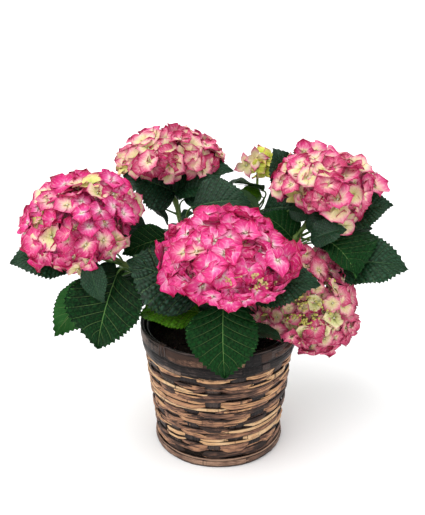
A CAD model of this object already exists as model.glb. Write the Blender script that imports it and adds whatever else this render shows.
"""Potted mophead hydrangea in a woven basket cover: the finish of every surface.

Metres, +Z up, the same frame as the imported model. Every limb, leaf, floret and
strip is worked out here from named sizes by seeded rules.
"""
import bpy
import math
import numpy as np
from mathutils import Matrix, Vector


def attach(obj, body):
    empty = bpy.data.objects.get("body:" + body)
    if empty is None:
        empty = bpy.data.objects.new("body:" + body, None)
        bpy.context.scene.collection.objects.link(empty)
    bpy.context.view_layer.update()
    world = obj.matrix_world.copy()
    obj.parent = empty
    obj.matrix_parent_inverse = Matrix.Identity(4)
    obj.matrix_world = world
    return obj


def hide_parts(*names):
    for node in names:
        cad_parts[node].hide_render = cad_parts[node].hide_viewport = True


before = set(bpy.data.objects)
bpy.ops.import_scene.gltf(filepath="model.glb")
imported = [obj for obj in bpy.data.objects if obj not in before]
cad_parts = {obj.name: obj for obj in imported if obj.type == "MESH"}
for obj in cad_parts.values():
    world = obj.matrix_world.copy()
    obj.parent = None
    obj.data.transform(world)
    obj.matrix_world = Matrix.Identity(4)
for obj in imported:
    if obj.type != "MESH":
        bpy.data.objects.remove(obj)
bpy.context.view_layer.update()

# ------------------------------------------------------------------ camera
scene = bpy.context.scene
cam_data = bpy.data.cameras.new("camera")
cam_data.sensor_width = 36.0
cam_data.lens = 53.48
cam = bpy.data.objects.new("camera", cam_data)
cam.location = (-0.0069, -0.8532, 0.5735)
cam.rotation_euler = (math.radians(68.8), 0.0, 0.0)
scene.collection.objects.link(cam)
scene.camera = cam
scene.view_settings.view_transform = "Standard"

# ------------------------------------------------------------------ sizes, mm
BASKET_H, RIM_R, FOOT_R, WALL, BAND = 162.0, 93.4, 78.0, 4.4, 1.7
SOIL_TOP, POT_H = 139.0, 157.0

STEMS = {
    "front": ([[1.2, -6.9, 146], [5, -14, 178], [6, -44, 205], [6.6, -55.6, 238]], (4.0, 3.0)),
    "left": ([[-7, 0.6, 146], [-30, -2, 196], [-85, -6, 214], [-158.2, 13, 256.2]], (4.0, 2.9)),
    "back": ([[-2.4, 6.6, 146], [-16, 26, 200], [-46, 84, 235], [-62, 104.7, 314.5]], (4.0, 2.8)),
    "right": ([[6.6, 2.4, 146], [22, 8, 190], [78, 26, 215], [119.6, 50.7, 287.4]], (4.0, 2.9)),
    "low": ([[6.3, -3, 146], [26, -4, 178], [72, 0, 196], [98.3, 3.8, 175.3]], (3.8, 2.8)),
    "bud": ([[2.4, 6.6, 146], [16, 24, 200], [54, 110, 236], [53.1, 140.9, 313.3]], (3.2, 1.8)),
}
# centre, axis bearing and rise, radius, dome height, underside height
HEADS = {
    "front": ([8.1, -62, 266], -77, 77, 81.6, 60, 40),
    "left": ([-164.9, 2, 283.5], -121, 65, 72.5, 57, 42),
    "back": ([-62.7, 105, 331.8], 153, 87, 67.3, 50, 24),
    "right": ([126, 42, 314.1], -54, 68, 66.1, 55, 40),
    "low": ([111, -10, 188.7], -47, 35, 61.1, 48, 32),
    "bud": ([50.9, 140, 321.6], -158, 74, 26.6, 20, 12),
}
# stem, place on it, stalk bearing / rise / length, blade bearing / rise /
# length, roll, half width, arch, then the tint group and its variant
LEAVES = {
    "front": ("front", 0.83, -92, -1, 35.7, -86, -67, 83.7, -4, 38, 8, "mid", 1),
    "quilted": ("front", 0.756, -160, 18, 22.8, 179, 23, 97, 59, 42, 10, "dark", 0),
    "low_right": ("front", 0.83, -21, 18, 28, -14, 9, 83.9, -40, 33, 8, "dark", 1),
    "bright": ("front", 0.63, -135, -4, 37.9, 177, -3, 70.1, 32, 26, 6, "fresh", 0),
    "left_broad": ("left", 0.69, -118, 20, 47.3, -125, -63, 91, 22, 42, 12, "mid", 0),
    "left_tip": ("left", 0.83, 159, 4, 47.6, -165, -1, 86.6, 40, 34, 8, "dark", 2),
    "left_small": ("left", 0.79, -121, 22, 66, -50, -62, 50, -52, 17, 5, "dark", 1),
    "left_hang": ("left", 0.73, -170, -25, 38.9, -169, -44, 88.5, -80, 29, 8, "mid", 2),
    "back_left": ("back", 0.90, -70, 40, 9, -160, 24, 71.6, 57, 36, 8, "dark", 0),
    "back_right": ("back", 0.873, -107, 62, 11.4, -9, 25, 82.9, -34, 36, 8, "dark", 2),
    "top_mid": ("back", 0.65, -76, 52, 64.1, -15, 11, 73, -41, 30, 6, "dark", 1),
    "mid_left": ("back", 0.54, -148, 41, 39.9, -157, -12, 63.9, 45, 21, 5, "mid", 1),
    "behind_left": ("back", 0.62, -155, 22, 58.4, -170, 9, 48.4, 58, 19, 5, "dark", 0),
    "narrow": ("back", 0.781, -164, 25, 41.9, -22, -42, 35.1, 4, 12, 2, "dark", 1),
    "edge_on": ("bud", 0.76, -30, 67, 35.1, -166, 15, 51.6, -9, 24, 3, "dark", 2),
    "right_far": ("right", 0.72, -15, -8, 60.6, -14, 3, 89.8, -40, 34, 10, "dark", 2),
    "right_fold": ("right", 0.78, -45, 25, 52.3, -48, -32, 63.5, 0, 41, 6, "mid", 1),
    "right_tip": ("right", 0.83, 14, 23, 60.5, -17, 19, 66.2, -41, 30, 6, "dark", 1),
    "right_upper": ("bud", 0.64, -25, 61, 38.6, -26, 11, 61.2, -50, 28, 5, "dark", 2),
    "right_under": ("right", 0.786, 2, 11, 5, 175, 41, 57.1, 44, 24, 5, "mid", 2),
    "right_sliver": ("right", 0.83, 90, 38, 63, 172, 66, 67.4, 57, 26, 6, "dark", 0),
    "right_below": ("right", 0.819, -48, 49, 24.6, -14, 27, 47, -42, 17, 4, "dark", 2),
    "right_inner": ("right", 0.71, -48, 36, 51.3, -18, 24, 45.4, -46, 17, 4, "dark", 1),
    "right_outer": ("right", 0.83, 8, -7, 50.9, -8, 24, 46.9, -39, 17, 4, "dark", 0),
    "rim_right": ("low", 0.29, -86, 8, 66.1, -3, -16, 43.1, -5, 15, 4, "dark", 1),
    "rear_a": ("back", 0.39, 72, 13, 34, 121, -10, 90.3, 5, 38, 14, "mid", 0),
    "rear_b": ("bud", 0.442, 78, -5, 23.4, 71, -13, 87.1, 6, 38, 14, "dark", 1),
    "rear_c": ("back", 0.25, 66, 3, 42.5, 89, -18, 88.6, 4, 36, 14, "mid", 1),
    "rear_d": ("back", 0.51, 118, -6, 38.4, 146, -11, 86.4, 5, 36, 12, "dark", 2),
    "rear_e": ("left", 0.49, 116, -8, 50.8, 142, -13, 86.4, 5, 36, 12, "mid", 2),
    "rear_f": ("left", 0.775, 121, 13, 32, 137, -4, 79.5, 0, 34, 12, "dark", 0),
    "rear_g": ("right", 0.53, 68, -5, 44.6, 46, -12, 79.4, -3, 38, 12, "mid", 1),
    "rear_h": ("right", 0.78, 41, -9, 47.4, 40, -9, 76.2, 0, 31, 12, "dark", 1),
    "rear_i": ("bud", 0.63, 61, -5, 38.7, 59, -11, 63.9, -3, 30, 10, "mid", 0),
    "side_left": ("left", 0.361, 125, 7, 14.3, 177, -31, 81.7, 4, 34, 12, "dark", 2),
    "side_right": ("low", 0.72, 72, 21, 33, 35, -27, 79.1, -4, 34, 12, "mid", 2),
    "back_low": ("back", 0.75, -69, 66, 35.1, -21, 24, 65.9, -57, 20, 5, "dark", 1),
    "rear_j": ("back", 0.557, 99, 5, 30.7, 71, -13, 80.5, 6, 34, 12, "dark", 0),
    "rear_k": ("bud", 0.686, 83, 2, 28.9, 141, -5, 69.9, 3, 29, 10, "mid", 1),
    "rear_l": ("back", 0.455, 145, 1, 14.3, 151, -11, 83.9, 3, 34, 12, "mid", 0),
    "rear_p": ("back", 0.851, 118, 18, 27.1, 144, -6, 61.9, 3, 29, 10, "dark", 2),
    "rear_q": ("bud", 0.558, 63, -5, 24.4, 33, -10, 77.8, -3, 32, 12, "mid", 1),
    "mid_band": ("bud", 0.69, -131, 59, 61.5, -38, -36, 47.9, 82, 9, 3, "dark", 2),
    "curl": ("bud", 0.72, -31, 69, 35.5, -169, 10, 32.4, 38, 13, 2, "fresh", 1),
    "rear_m": ("bud", 0.21, 86, -4, 32.7, 138, -11, 91, 2, 34, 12, "dark", 2),
    "rear_n": ("right", 0.35, 63, 0, 32.9, 54, -17, 82.4, -3, 34, 12, "mid", 2),
    "rear_o": ("left", 0.3, 117, 10, 35.8, 122, -16, 78.6, 3, 34, 12, "dark", 1),
    "rear_r": ("right", 0.59, 79, 9, 39.1, 84, -9, 75.4, -4, 28, 12, "dark", 0),
}
# leaves and shoots too small for a body of their own
SMALL = {"mid_band", "curl", "rear_m", "rear_n", "rear_o", "rear_r"}
SHOOTS = {
    "shoot_a": ("left", 0.735, -70, 30, 12, -58, 12, 27, 20, 9, 3, "fresh", 1),
    "shoot_b": ("left", 0.735, 30, 45, 10, 4, 22, 26, -40, 8, 3, "fresh", 2),
    "shoot_k": ("left", 0.80, -119, 24, 20.3, -117, -44, 24, 10, 10, 3, "dark", 1),
    "shoot_l": ("left", 0.70, -96, -10, 10, -70, -30, 34, -20, 13, 4, "dark", 2),
    "shoot_m": ("left", 0.66, 40, 10, 12, 20, 10, 34, 30, 12, 3, "mid", 0),
    "shoot_n": ("right", 0.84, 158, 69, 34.4, -20, -14, 30, -76, 10, 3, "dark", 2),
    "shoot_c": ("left", 0.74, -150, 10, 10, -130, -24, 25, 10, 8, 3, "mid", 1),
    "shoot_d": ("back", 0.63, -122, 70, 34.7, -33, 25, 20.2, -60, 7, 2, "dark", 1),
    "shoot_e": ("right", 0.66, -120, 30, 12, -140, 8, 30, 50, 9, 3, "mid", 2),
    "shoot_f": ("front", 0.60, -60, 10, 14, -50, -20, 34, -20, 12, 3, "mid", 0),
    "shoot_g": ("front", 0.52, -140, 10, 16, -130, -16, 36, 20, 12, 4, "dark", 0),
    "shoot_h": ("low", 0.30, -120, 30, 12, -100, -10, 38, 10, 13, 4, "dark", 2),
    "shoot_i": ("bud", 0.30, 150, 20, 14, 160, 0, 40, 10, 13, 4, "mid", 0),
    "shoot_j": ("right", 0.30, -80, 20, 14, -70, -6, 40, -10, 13, 4, "dark", 1),
}
FRONTAL = {"front", "quilted", "low_right", "bright", "left_broad", "left_tip", "left_hang", "back_left",
           "back_right", "top_mid", "mid_left", "right_far", "right_fold", "right_tip", "right_upper",
           "right_under", "edge_on", "back_low"}
FOLD = 0.20
TEETH = 20                      # teeth down each side of a blade
VEIN_STEP, VEIN_START, VEIN_RUN = 0.118, 0.035, 0.27


# ------------------------------------------------------------------ vectors
def vec(*a):
    return np.array(a, float)


def unit(v):
    return v / (np.linalg.norm(v) + 1e-12)


def heading(az, el):
    a, e = math.radians(az), math.radians(el)
    return vec(math.cos(e) * math.cos(a), math.cos(e) * math.sin(a), math.sin(e))


def bezier(P, t):
    P = np.asarray(P, float)
    t = np.asarray(t, float)[..., None]
    return ((1 - t) ** 3 * P[0] + 3 * (1 - t) ** 2 * t * P[1]
            + 3 * (1 - t) * t * t * P[2] + t ** 3 * P[3])


def smooth01(x):
    x = np.clip(x, 0, 1)
    return x * x * (3 - 2 * x)


def ripple(x, y, z, seed):
    """cheap smooth noise in -1..1 from a few turned waves"""
    r = np.random.RandomState(seed)
    out = 0.0
    amp = 1.0
    k = 1.0
    tot = 0.0
    for _ in range(4):
        d = r.normal(size=3)
        d /= np.linalg.norm(d)
        e = r.normal(size=3)
        e /= np.linalg.norm(e)
        out = out + amp * np.sin(k * (d[0] * x + d[1] * y + d[2] * z) + r.uniform(0, 6.3)) \
            * np.cos(k * (e[0] * x + e[1] * y + e[2] * z) + r.uniform(0, 6.3))
        tot += amp
        amp *= 0.55
        k *= 1.9
    return out / tot


# ------------------------------------------------------------------ meshes
class Shell:
    """grids of quads and small triangle bodies gathered into one mesh, in mm"""

    def __init__(self):
        self.v, self.q, self.t, self.uq, self.ut, self.mq, self.mt = [], [], [], [], [], [], []
        self.n = 0

    def grid(self, P, UV=None, mat=0, flip=False, wrap=False):
        R, C = P.shape[:2]
        idx = np.arange(R * C).reshape(R, C) + self.n
        if wrap:
            idx = np.concatenate([idx, idx[:, :1]], 1)
        a, b, c, d = idx[:-1, :-1], idx[:-1, 1:], idx[1:, 1:], idx[1:, :-1]
        q = np.stack([a, b, c, d], -1).reshape(-1, 4)
        if UV is None:
            UV = np.zeros(idx.shape + (2,))
        u = np.stack([UV[:-1, :-1], UV[:-1, 1:], UV[1:, 1:], UV[1:, :-1]], -2).reshape(-1, 4, 2)
        if flip:
            q, u = q[:, ::-1], u[:, ::-1]
        self.v.append(P.reshape(-1, 3))
        self.q.append(q)
        self.uq.append(u)
        self.mq.append(np.full(len(q), mat))
        self.n += R * C

    def body(self, V, T, uv=(0.5, 0.5), mat=0):
        """triangles with one point of the map for the whole body, or one each"""
        self.v.append(V)
        self.t.append(T + self.n)
        if isinstance(uv, tuple):
            u = np.zeros((len(T), 3, 2)) + np.array(uv)
        else:
            u = uv[T]
        self.ut.append(u)
        self.mt.append(np.full(len(T), mat))
        self.n += len(V)

    def faces(self):
        return sum(len(q) for q in self.q) * 2 + sum(len(t) for t in self.t)

    def make(self, name, mats, slot=None, nodes=(), uv=True):
        me = bpy.data.meshes.new(name)
        V = np.concatenate(self.v) * 0.001
        Q = np.concatenate(self.q) if self.q else np.zeros((0, 4), int)
        T = np.concatenate(self.t) if self.t else np.zeros((0, 3), int)
        loops = np.concatenate([Q.ravel(), T.ravel()]).astype(np.int32)
        start = np.concatenate([np.arange(len(Q)) * 4, len(Q) * 4 + np.arange(len(T)) * 3]).astype(np.int32)
        me.vertices.add(len(V))
        me.vertices.foreach_set("co", V.ravel())
        me.loops.add(len(loops))
        me.loops.foreach_set("vertex_index", loops)
        me.polygons.add(len(start))
        me.polygons.foreach_set("loop_start", start)
        mi = np.concatenate(self.mq + self.mt).astype(np.int32)
        me.polygons.foreach_set("material_index", mi)
        me.polygons.foreach_set("use_smooth", np.ones(len(start), bool))
        if uv:
            layer = me.uv_layers.new(name="OFBake")
            U = np.concatenate([u.reshape(-1, 2) for u in self.uq + self.ut])
            layer.data.foreach_set("uv", U.ravel().astype(np.float32))
        me.update(calc_edges=True)
        me.validate(verbose=False)
        for m in mats:
            me.materials.append(m)
        ob = bpy.data.objects.new(name, me)
        scene.collection.objects.link(ob)
        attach(ob, "root")
        if nodes:
            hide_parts(*nodes)
        return ob


def tube(shell, pts, radii, sides=8, uv=(0, 0, 1, 1), mat=0, closed=True, side0=None):
    pts = np.asarray(pts, float)
    n = len(pts)
    d = np.gradient(pts, axis=0)
    d /= np.linalg.norm(d, axis=1, keepdims=True) + 1e-12
    side = vec(1, 0, 0) if side0 is None else side0
    if abs(side @ d[0]) > 0.9:
        side = vec(0, 1, 0)
    a = np.arange(sides) * 2 * math.pi / sides
    P = np.zeros((n, sides, 3))
    for i in range(n):
        side = unit(side - d[i] * (side @ d[i]))
        up = np.cross(d[i], side)
        P[i] = pts[i] + radii[i] * (np.cos(a)[:, None] * side + np.sin(a)[:, None] * up)
    if closed:
        P = np.concatenate([pts[:1][:, None] + (P[:1] - pts[:1][:, None]) * 0.02, P,
                            pts[-1:][:, None] + (P[-1:] - pts[-1:][:, None]) * 0.02])
        n += 2
    uu = np.linspace(uv[0], uv[2], n)[:, None] * np.ones(sides + 1)
    vv = np.linspace(uv[1], uv[3], sides + 1)[None, :] * np.ones((n, 1))
    shell.grid(P, np.stack([uu, vv], -1), mat=mat, wrap=True)


def ico(level=1):
    """unit icosphere as arrays"""
    g = (1 + 5 ** 0.5) / 2
    V = [(-1, g, 0), (1, g, 0), (-1, -g, 0), (1, -g, 0), (0, -1, g), (0, 1, g), (0, -1, -g),
         (0, 1, -g), (g, 0, -1), (g, 0, 1), (-g, 0, -1), (-g, 0, 1)]
    V = [unit(vec(*v)) for v in V]
    T = [(0, 11, 5), (0, 5, 1), (0, 1, 7), (0, 7, 10), (0, 10, 11), (1, 5, 9), (5, 11, 4),
         (11, 10, 2), (10, 7, 6), (7, 1, 8), (3, 9, 4), (3, 4, 2), (3, 2, 6), (3, 6, 8),
         (3, 8, 9), (4, 9, 5), (2, 4, 11), (6, 2, 10), (8, 6, 7), (9, 8, 1)]
    for _ in range(level):
        mid, out = {}, []

        def half(i, j):
            key = (min(i, j), max(i, j))
            if key not in mid:
                V.append(unit(V[i] + V[j]))
                mid[key] = len(V) - 1
            return mid[key]
        for a, b, c in T:
            x, y, z = half(a, b), half(b, c), half(c, a)
            out += [(a, x, z), (b, y, x), (c, z, y), (x, y, z)]
        T = out
    return np.array(V), np.array(T)


ICO0, ICO1, ICO2 = ico(0), ico(1), ico(2)


# ------------------------------------------------------------------ materials
def srgb(r, g, b):
    def f(c):
        c /= 255.0
        return c / 12.92 if c <= 0.04045 else ((c + 0.055) / 1.055) ** 2.4
    return (f(r), f(g), f(b), 1.0)


class Mat:
    """small helper over one node tree"""

    def __init__(self, name, rough=0.5, spec=0.5, base=None, coat=0.0, sheen=0.0, sss=0.0):
        self.m = bpy.data.materials.new(name)
        self.m.use_nodes = True
        self.t = self.m.node_tree
        self.b = self.t.nodes["Principled BSDF"]
        self.b.inputs["Roughness"].default_value = rough
        self.b.inputs["Specular IOR Level"].default_value = spec
        self.b.inputs["Coat Weight"].default_value = coat
        self.b.inputs["Coat Roughness"].default_value = 0.25
        self.b.inputs["Sheen Weight"].default_value = sheen
        if sss:
            self.b.inputs["Subsurface Weight"].default_value = sss
            self.b.inputs["Subsurface Radius"].default_value = (1.0, 0.6, 0.4)
            self.b.inputs["Subsurface Scale"].default_value = 0.004
        if base is not None:
            self.b.inputs["Base Color"].default_value = base

    def put(self, sock, value):
        if isinstance(value, bpy.types.NodeSocket):
            self.t.links.new(value, sock)
        else:
            sock.default_value = value

    def node(self, kind, **props):
        n = self.t.nodes.new(kind)
        for k, v in props.items():
            setattr(n, k, v)
        return n

    def uv(self):
        n = self.node("ShaderNodeUVMap")
        n.uv_map = "OFBake"
        s = self.node("ShaderNodeSeparateXYZ")
        self.t.links.new(n.outputs[0], s.inputs[0])
        return s.outputs[0], s.outputs[1]

    def place(self):
        n = self.node("ShaderNodeTexCoord")
        return n.outputs["Object"]

    def math(self, op, a, b=0.0, c=0.0, clamp=False):
        n = self.node("ShaderNodeMath", operation=op, use_clamp=clamp)
        self.put(n.inputs[0], a)
        self.put(n.inputs[1], b)
        self.put(n.inputs[2], c)
        return n.outputs[0]

    def xyz(self, x, y, z=0.0):
        n = self.node("ShaderNodeCombineXYZ")
        for i, v in enumerate((x, y, z)):
            self.put(n.inputs[i], v)
        return n.outputs[0]

    def noise(self, v, scale=5.0, detail=3.0, rough=0.5, dist=0.0):
        n = self.node("ShaderNodeTexNoise")
        self.put(n.inputs["Vector"], v)
        n.inputs["Scale"].default_value = scale
        n.inputs["Detail"].default_value = detail
        n.inputs["Roughness"].default_value = rough
        n.inputs["Distortion"].default_value = dist
        return n.outputs["Fac"]

    def cells(self, v, scale=5.0, feature="DISTANCE_TO_EDGE"):
        n = self.node("ShaderNodeTexVoronoi", feature=feature)
        self.put(n.inputs["Vector"], v)
        n.inputs["Scale"].default_value = scale
        return n.outputs["Distance"]

    def ramp(self, fac, stops, mode="LINEAR"):
        n = self.node("ShaderNodeValToRGB")
        n.color_ramp.interpolation = mode
        e = n.color_ramp.elements
        while len(e) < len(stops):
            e.new(0.5)
        for el, (p, col) in zip(e, stops):
            el.position = p
            el.color = col
        self.put(n.inputs[0], fac)
        return n.outputs[0]

    def span(self, v, a, b, lo=0.0, hi=1.0):
        n = self.node("ShaderNodeMapRange", interpolation_type="SMOOTHSTEP")
        self.put(n.inputs[0], v)
        for i, x in zip((1, 2, 3, 4), (a, b, lo, hi)):
            n.inputs[i].default_value = x
        return n.outputs[0]

    def mix(self, fac, a, b, blend="MIX"):
        n = self.node("ShaderNodeMix", data_type="RGBA", blend_type=blend)
        self.put(n.inputs[0], fac)
        self.put(n.inputs[6], a)
        self.put(n.inputs[7], b)
        return n.outputs[2]

    def base(self, col):
        self.put(self.b.inputs["Base Color"], col)
        return self.m

    def bump(self, height, dist=0.001, strength=0.5):
        n = self.node("ShaderNodeBump")
        n.inputs["Strength"].default_value = strength
        n.inputs["Distance"].default_value = dist
        self.put(n.inputs["Height"], height)
        self.t.links.new(n.outputs[0], self.b.inputs["Normal"])


def grey(x):
    return (x, x, x, 1.0)


ROWS = 24                       # eight tints, three variants of each


def petal_material(name, stops, shade=1.0):
    """colour runs from the eye of a floret (left of the map) to the point of
    its sepal (right); each of the eight rows of the map is one tint"""
    m = Mat(name, rough=0.55, spec=0.14, sheen=0.0)
    u, v = m.uv()
    v8 = m.math("MULTIPLY", v, float(ROWS))
    row = m.math("FLOOR", v8)
    t = m.math("ABSOLUTE", m.math("SUBTRACT", m.math("MULTIPLY", m.math("FRACT", v8), 2.0), 1.0))
    edge = m.math("MULTIPLY", m.math("POWER", t, 3.0), 0.26)
    streak = m.noise(m.xyz(m.math("MULTIPLY", u, 0.8), m.math("MULTIPLY", v8, 2.6), row), 4.0, 3.0, 0.65)
    along = m.math("ADD", u, m.math("MULTIPLY", m.math("SUBTRACT", streak, 0.5), 0.62))
    # some sepals are coloured nearly down to the eye
    depth = m.noise(m.xyz(m.math("MULTIPLY", row, 5.37), 0.3, 0.0), 1.0, 0.0)
    first = m.math("LESS_THAN", row, ROWS / 2 - 0.5)
    along = m.math("ADD", along, m.math("MULTIPLY", m.math("MULTIPLY", m.span(depth, 0.46, 0.58, 0.0, 0.20), first),
                                        m.span(u, 0.08, 0.30)))
    e = m.math("ADD", along, edge, clamp=True)
    col = m.ramp(e, stops[0])
    for k in range(1, len(stops)):
        lim = ROWS * k / len(stops) - 0.5
        pick = m.math("GREATER_THAN", row, lim)
        col = m.mix(pick, col, m.ramp(e, stops[k]))
    # each row inside a ramp a little lighter or darker than the last
    odd = m.math("MODULO", m.math("FLOOR", m.math("DIVIDE", row, 3.0)), 2.0)
    col = m.mix(m.math("MULTIPLY", odd, 0.22), col, m.mix(1.0, col, (0.92, 0.70, 0.80, 1), "MULTIPLY"))
    fine = m.noise(m.xyz(m.math("MULTIPLY", u, 1.0), m.math("MULTIPLY", v8, 4.2), m.math("ADD", row, 40.0)), 3.0, 2.0)
    vein = m.span(fine, 0.52, 0.66, 0.0, 0.42)
    col = m.mix(vein, col, m.mix(0.5, col, (1.0, 0.78, 0.84, 1)))
    dark = m.span(fine, 0.44, 0.30, 0.0, 0.45)
    col = m.mix(dark, col, m.mix(1.0, col, (0.80, 0.45, 0.62, 1), "MULTIPLY"))
    rim = m.span(t, 0.84, 1.0, 0.0, 0.55)
    tip = m.span(u, 0.90, 1.0, 0.0, 0.35)
    col = m.mix(m.math("MAXIMUM", rim, tip), col, m.mix(1.0, col, (0.78, 0.34, 0.46, 1), "MULTIPLY"))
    # a dark ring round the bead in the eye
    ring = m.span(u, 0.10, 0.07, 0.0, 0.62)
    col = m.mix(ring, col, srgb(128, 104, 62))
    return m.base(col)


VIVID = [(0.0, srgb(206, 204, 140)), (0.07, srgb(238, 226, 204)), (0.16, srgb(240, 200, 208)),
         (0.30, srgb(232, 134, 178)), (0.48, srgb(226, 80, 148)), (0.76, srgb(212, 42, 120)),
         (1.0, srgb(172, 14, 76))]
ROSE = [(0.0, srgb(196, 196, 110)), (0.14, srgb(230, 216, 168)), (0.32, srgb(232, 184, 178)),
        (0.52, srgb(226, 120, 156)), (0.74, srgb(210, 60, 124)), (1.0, srgb(176, 20, 82))]
CREAM = [(0.0, srgb(182, 188, 92)), (0.26, srgb(224, 216, 154)), (0.50, srgb(232, 212, 172)),
         (0.68, srgb(230, 170, 172)), (0.84, srgb(214, 92, 134)), (1.0, srgb(178, 36, 86))]
LIME = [(0.0, srgb(164, 176, 70)), (0.35, srgb(206, 212, 116)), (0.64, srgb(224, 218, 140)),
        (0.82, srgb(226, 184, 152)), (0.93, srgb(206, 100, 122)), (1.0, srgb(180, 50, 90))]
BLUSH = [(0.0, srgb(192, 194, 104)), (0.16, srgb(232, 220, 168)), (0.34, srgb(236, 192, 178)),
         (0.54, srgb(222, 130, 152)), (0.76, srgb(202, 70, 116)), (1.0, srgb(166, 28, 76))]
DUSTY = [(0.0, srgb(176, 178, 90)), (0.14, srgb(216, 198, 146)), (0.30, srgb(222, 166, 160)),
         (0.54, srgb(206, 102, 130)), (0.80, srgb(190, 60, 102)), (1.0, srgb(160, 34, 78))]
PALE = [(0.0, srgb(172, 174, 96)), (0.24, srgb(214, 202, 146)), (0.46, srgb(220, 184, 158)),
        (0.70, srgb(208, 118, 138)), (1.0, srgb(170, 50, 92))]
SAGE = [(0.0, srgb(156, 164, 84)), (0.4, srgb(206, 206, 138)), (0.70, srgb(230, 222, 172)),
        (0.88, srgb(214, 168, 150)), (1.0, srgb(184, 92, 108))]

BRIGHT = [(0.0, srgb(160, 182, 44)), (0.35, srgb(206, 222, 74)), (0.64, srgb(222, 228, 98)),
          (0.82, srgb(226, 196, 138)), (0.93, srgb(208, 104, 118)), (1.0, srgb(182, 54, 92))]

M_PETAL = petal_material("petal_pink", [VIVID, ROSE, CREAM, LIME])
M_LIME = petal_material("petal_bright", [VIVID, PALE, CREAM, BRIGHT])
M_BLUSH = petal_material("petal_blush", [ROSE, BLUSH, CREAM, LIME])
M_DUSTY = petal_material("petal_dusty", [DUSTY, DUSTY, PALE, SAGE])
M_BEAD = Mat("floret_bead", rough=0.28, spec=0.6, base=srgb(214, 208, 190)).m
M_BUD = Mat("bud_green", rough=0.45, spec=0.3, base=srgb(186, 176, 92)).m
M_KNOT = Mat("bud_straw", rough=0.5, spec=0.3, base=srgb(192, 164, 112)).m
M_PEDICEL = Mat("pedicel", rough=0.55, spec=0.3, base=srgb(146, 144, 82)).m


def leaf_material(name, dark, light, vein, rough, under, spec, bloom, quilt, web_amt=0.30, lat_amt=0.45):
    """the map runs along the blade and across it; three rows are tints of the
    upper face and the last row is the underside"""
    m = Mat(name, rough=rough, spec=spec)
    u, v = m.uv()
    v4 = m.math("MULTIPLY", v, 4.0)
    row = m.math("FLOOR", v4)
    x = m.math("SUBTRACT", m.math("MULTIPLY", m.math("FRACT", v4), 2.0), 1.0)
    x = m.math("MULTIPLY", x, 1.0 / 0.92)
    ax = m.math("ABSOLUTE", x)
    side = m.math("MULTIPLY", m.math("SIGN", x), 0.012)
    run = m.math("MULTIPLY", ax, m.math("SUBTRACT", 1.0, m.math("MULTIPLY", ax, 0.25)))
    q = m.math("SUBTRACT", u, m.math("MULTIPLY", run, VEIN_RUN))
    q = m.math("ADD", m.math("SUBTRACT", q, VEIN_START), side)
    cu = m.math("DIVIDE", q, VEIN_STEP)
    jit = m.noise(m.xyz(u, m.math("MULTIPLY", x, 0.6), m.math("ADD", row, 20.0)), 9.0, 2.0)
    jit = m.math("SUBTRACT", jit, 0.5)
    f = m.math("FRACT", cu)
    near = m.math("MINIMUM", f, m.math("SUBTRACT", 1.0, f))
    lateral = m.span(near, 0.040, 0.010, 0.0, 1.0)
    fade = m.span(ax, 1.0, 0.45, 0.10, 0.9)
    lateral = m.math("MULTIPLY", lateral, fade)
    # no laterals in the last stretch before the tip
    lateral = m.math("MULTIPLY", lateral, m.span(u, 0.92, 0.80, 0.0, 1.0))
    mid = m.span(ax, 0.016, 0.005, 0.0, 1.0)
    # creases of the quilting lie darker than its pillows
    fu = m.math("FRACT", m.math("ADD", m.math("MULTIPLY", cu, 2.0), m.math("MULTIPLY", jit, 0.9)))
    nu = m.math("MINIMUM", fu, m.math("SUBTRACT", 1.0, fu))
    across = m.math("ADD", m.math("MULTIPLY", ax, 6.0),
                    m.math("MULTIPLY", m.math("FLOOR", m.math("MULTIPLY", cu, 2.0)), 0.5))
    fa = m.math("FRACT", m.math("SUBTRACT", across, m.math("MULTIPLY", jit, 1.6)))
    na = m.math("MINIMUM", fa, m.math("SUBTRACT", 1.0, fa))
    cloud0 = m.noise(m.xyz(u, x, m.math("ADD", row, 60.0)), 4.0, 2.0)
    pil = m.math("MINIMUM", nu, na)
    crease = m.span(pil, 0.20, 0.02, 0.0, quilt)
    crown = m.math("MULTIPLY", m.span(pil, 0.16, 0.46, 0.0, 1.0), m.span(cloud0, 0.35, 0.65, 0.15 * quilt, 0.62 * quilt))
    net = m.cells(m.xyz(m.math("MULTIPLY", u, 2.6), m.math("MULTIPLY", x, 1.0), row), 11.0)
    web = m.span(net, 0.07, 0.01, 0.0, web_amt)
    cloud = m.noise(m.xyz(u, x, row), 2.6, 3.0)
    tone = m.math("ADD", m.math("MULTIPLY", row, 0.22), m.math("MULTIPLY", cloud, 0.62))
    tone = m.math("ADD", tone, m.span(near, 0.0, 0.5, 0.0, 0.20))
    tone = m.math("ADD", tone, m.math("MULTIPLY", u, 0.34))
    col = m.ramp(tone, [(0.28, dark), (1.10, light)])
    col = m.mix(crease, col, m.mix(1.0, col, (0.30, 0.36, 0.36, 1), "MULTIPLY"))
    col = m.mix(crown, col, bloom)
    col = m.mix(web, col, m.mix(0.35, col, vein))
    col = m.mix(m.math("MULTIPLY", lateral, lat_amt), col, vein)
    col = m.mix(m.math("MULTIPLY", mid, 0.66), col, vein)
    below = m.math("GREATER_THAN", row, 2.5)
    pale = m.mix(m.math("MULTIPLY", crease, 0.7), under, m.mix(1.0, under, (0.45, 0.52, 0.45, 1), "MULTIPLY"))
    pale = m.mix(m.math("MAXIMUM", lateral, mid), pale, m.mix(0.55, under, vein))
    col = m.mix(below, col, pale)
    return m.base(col)


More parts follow.
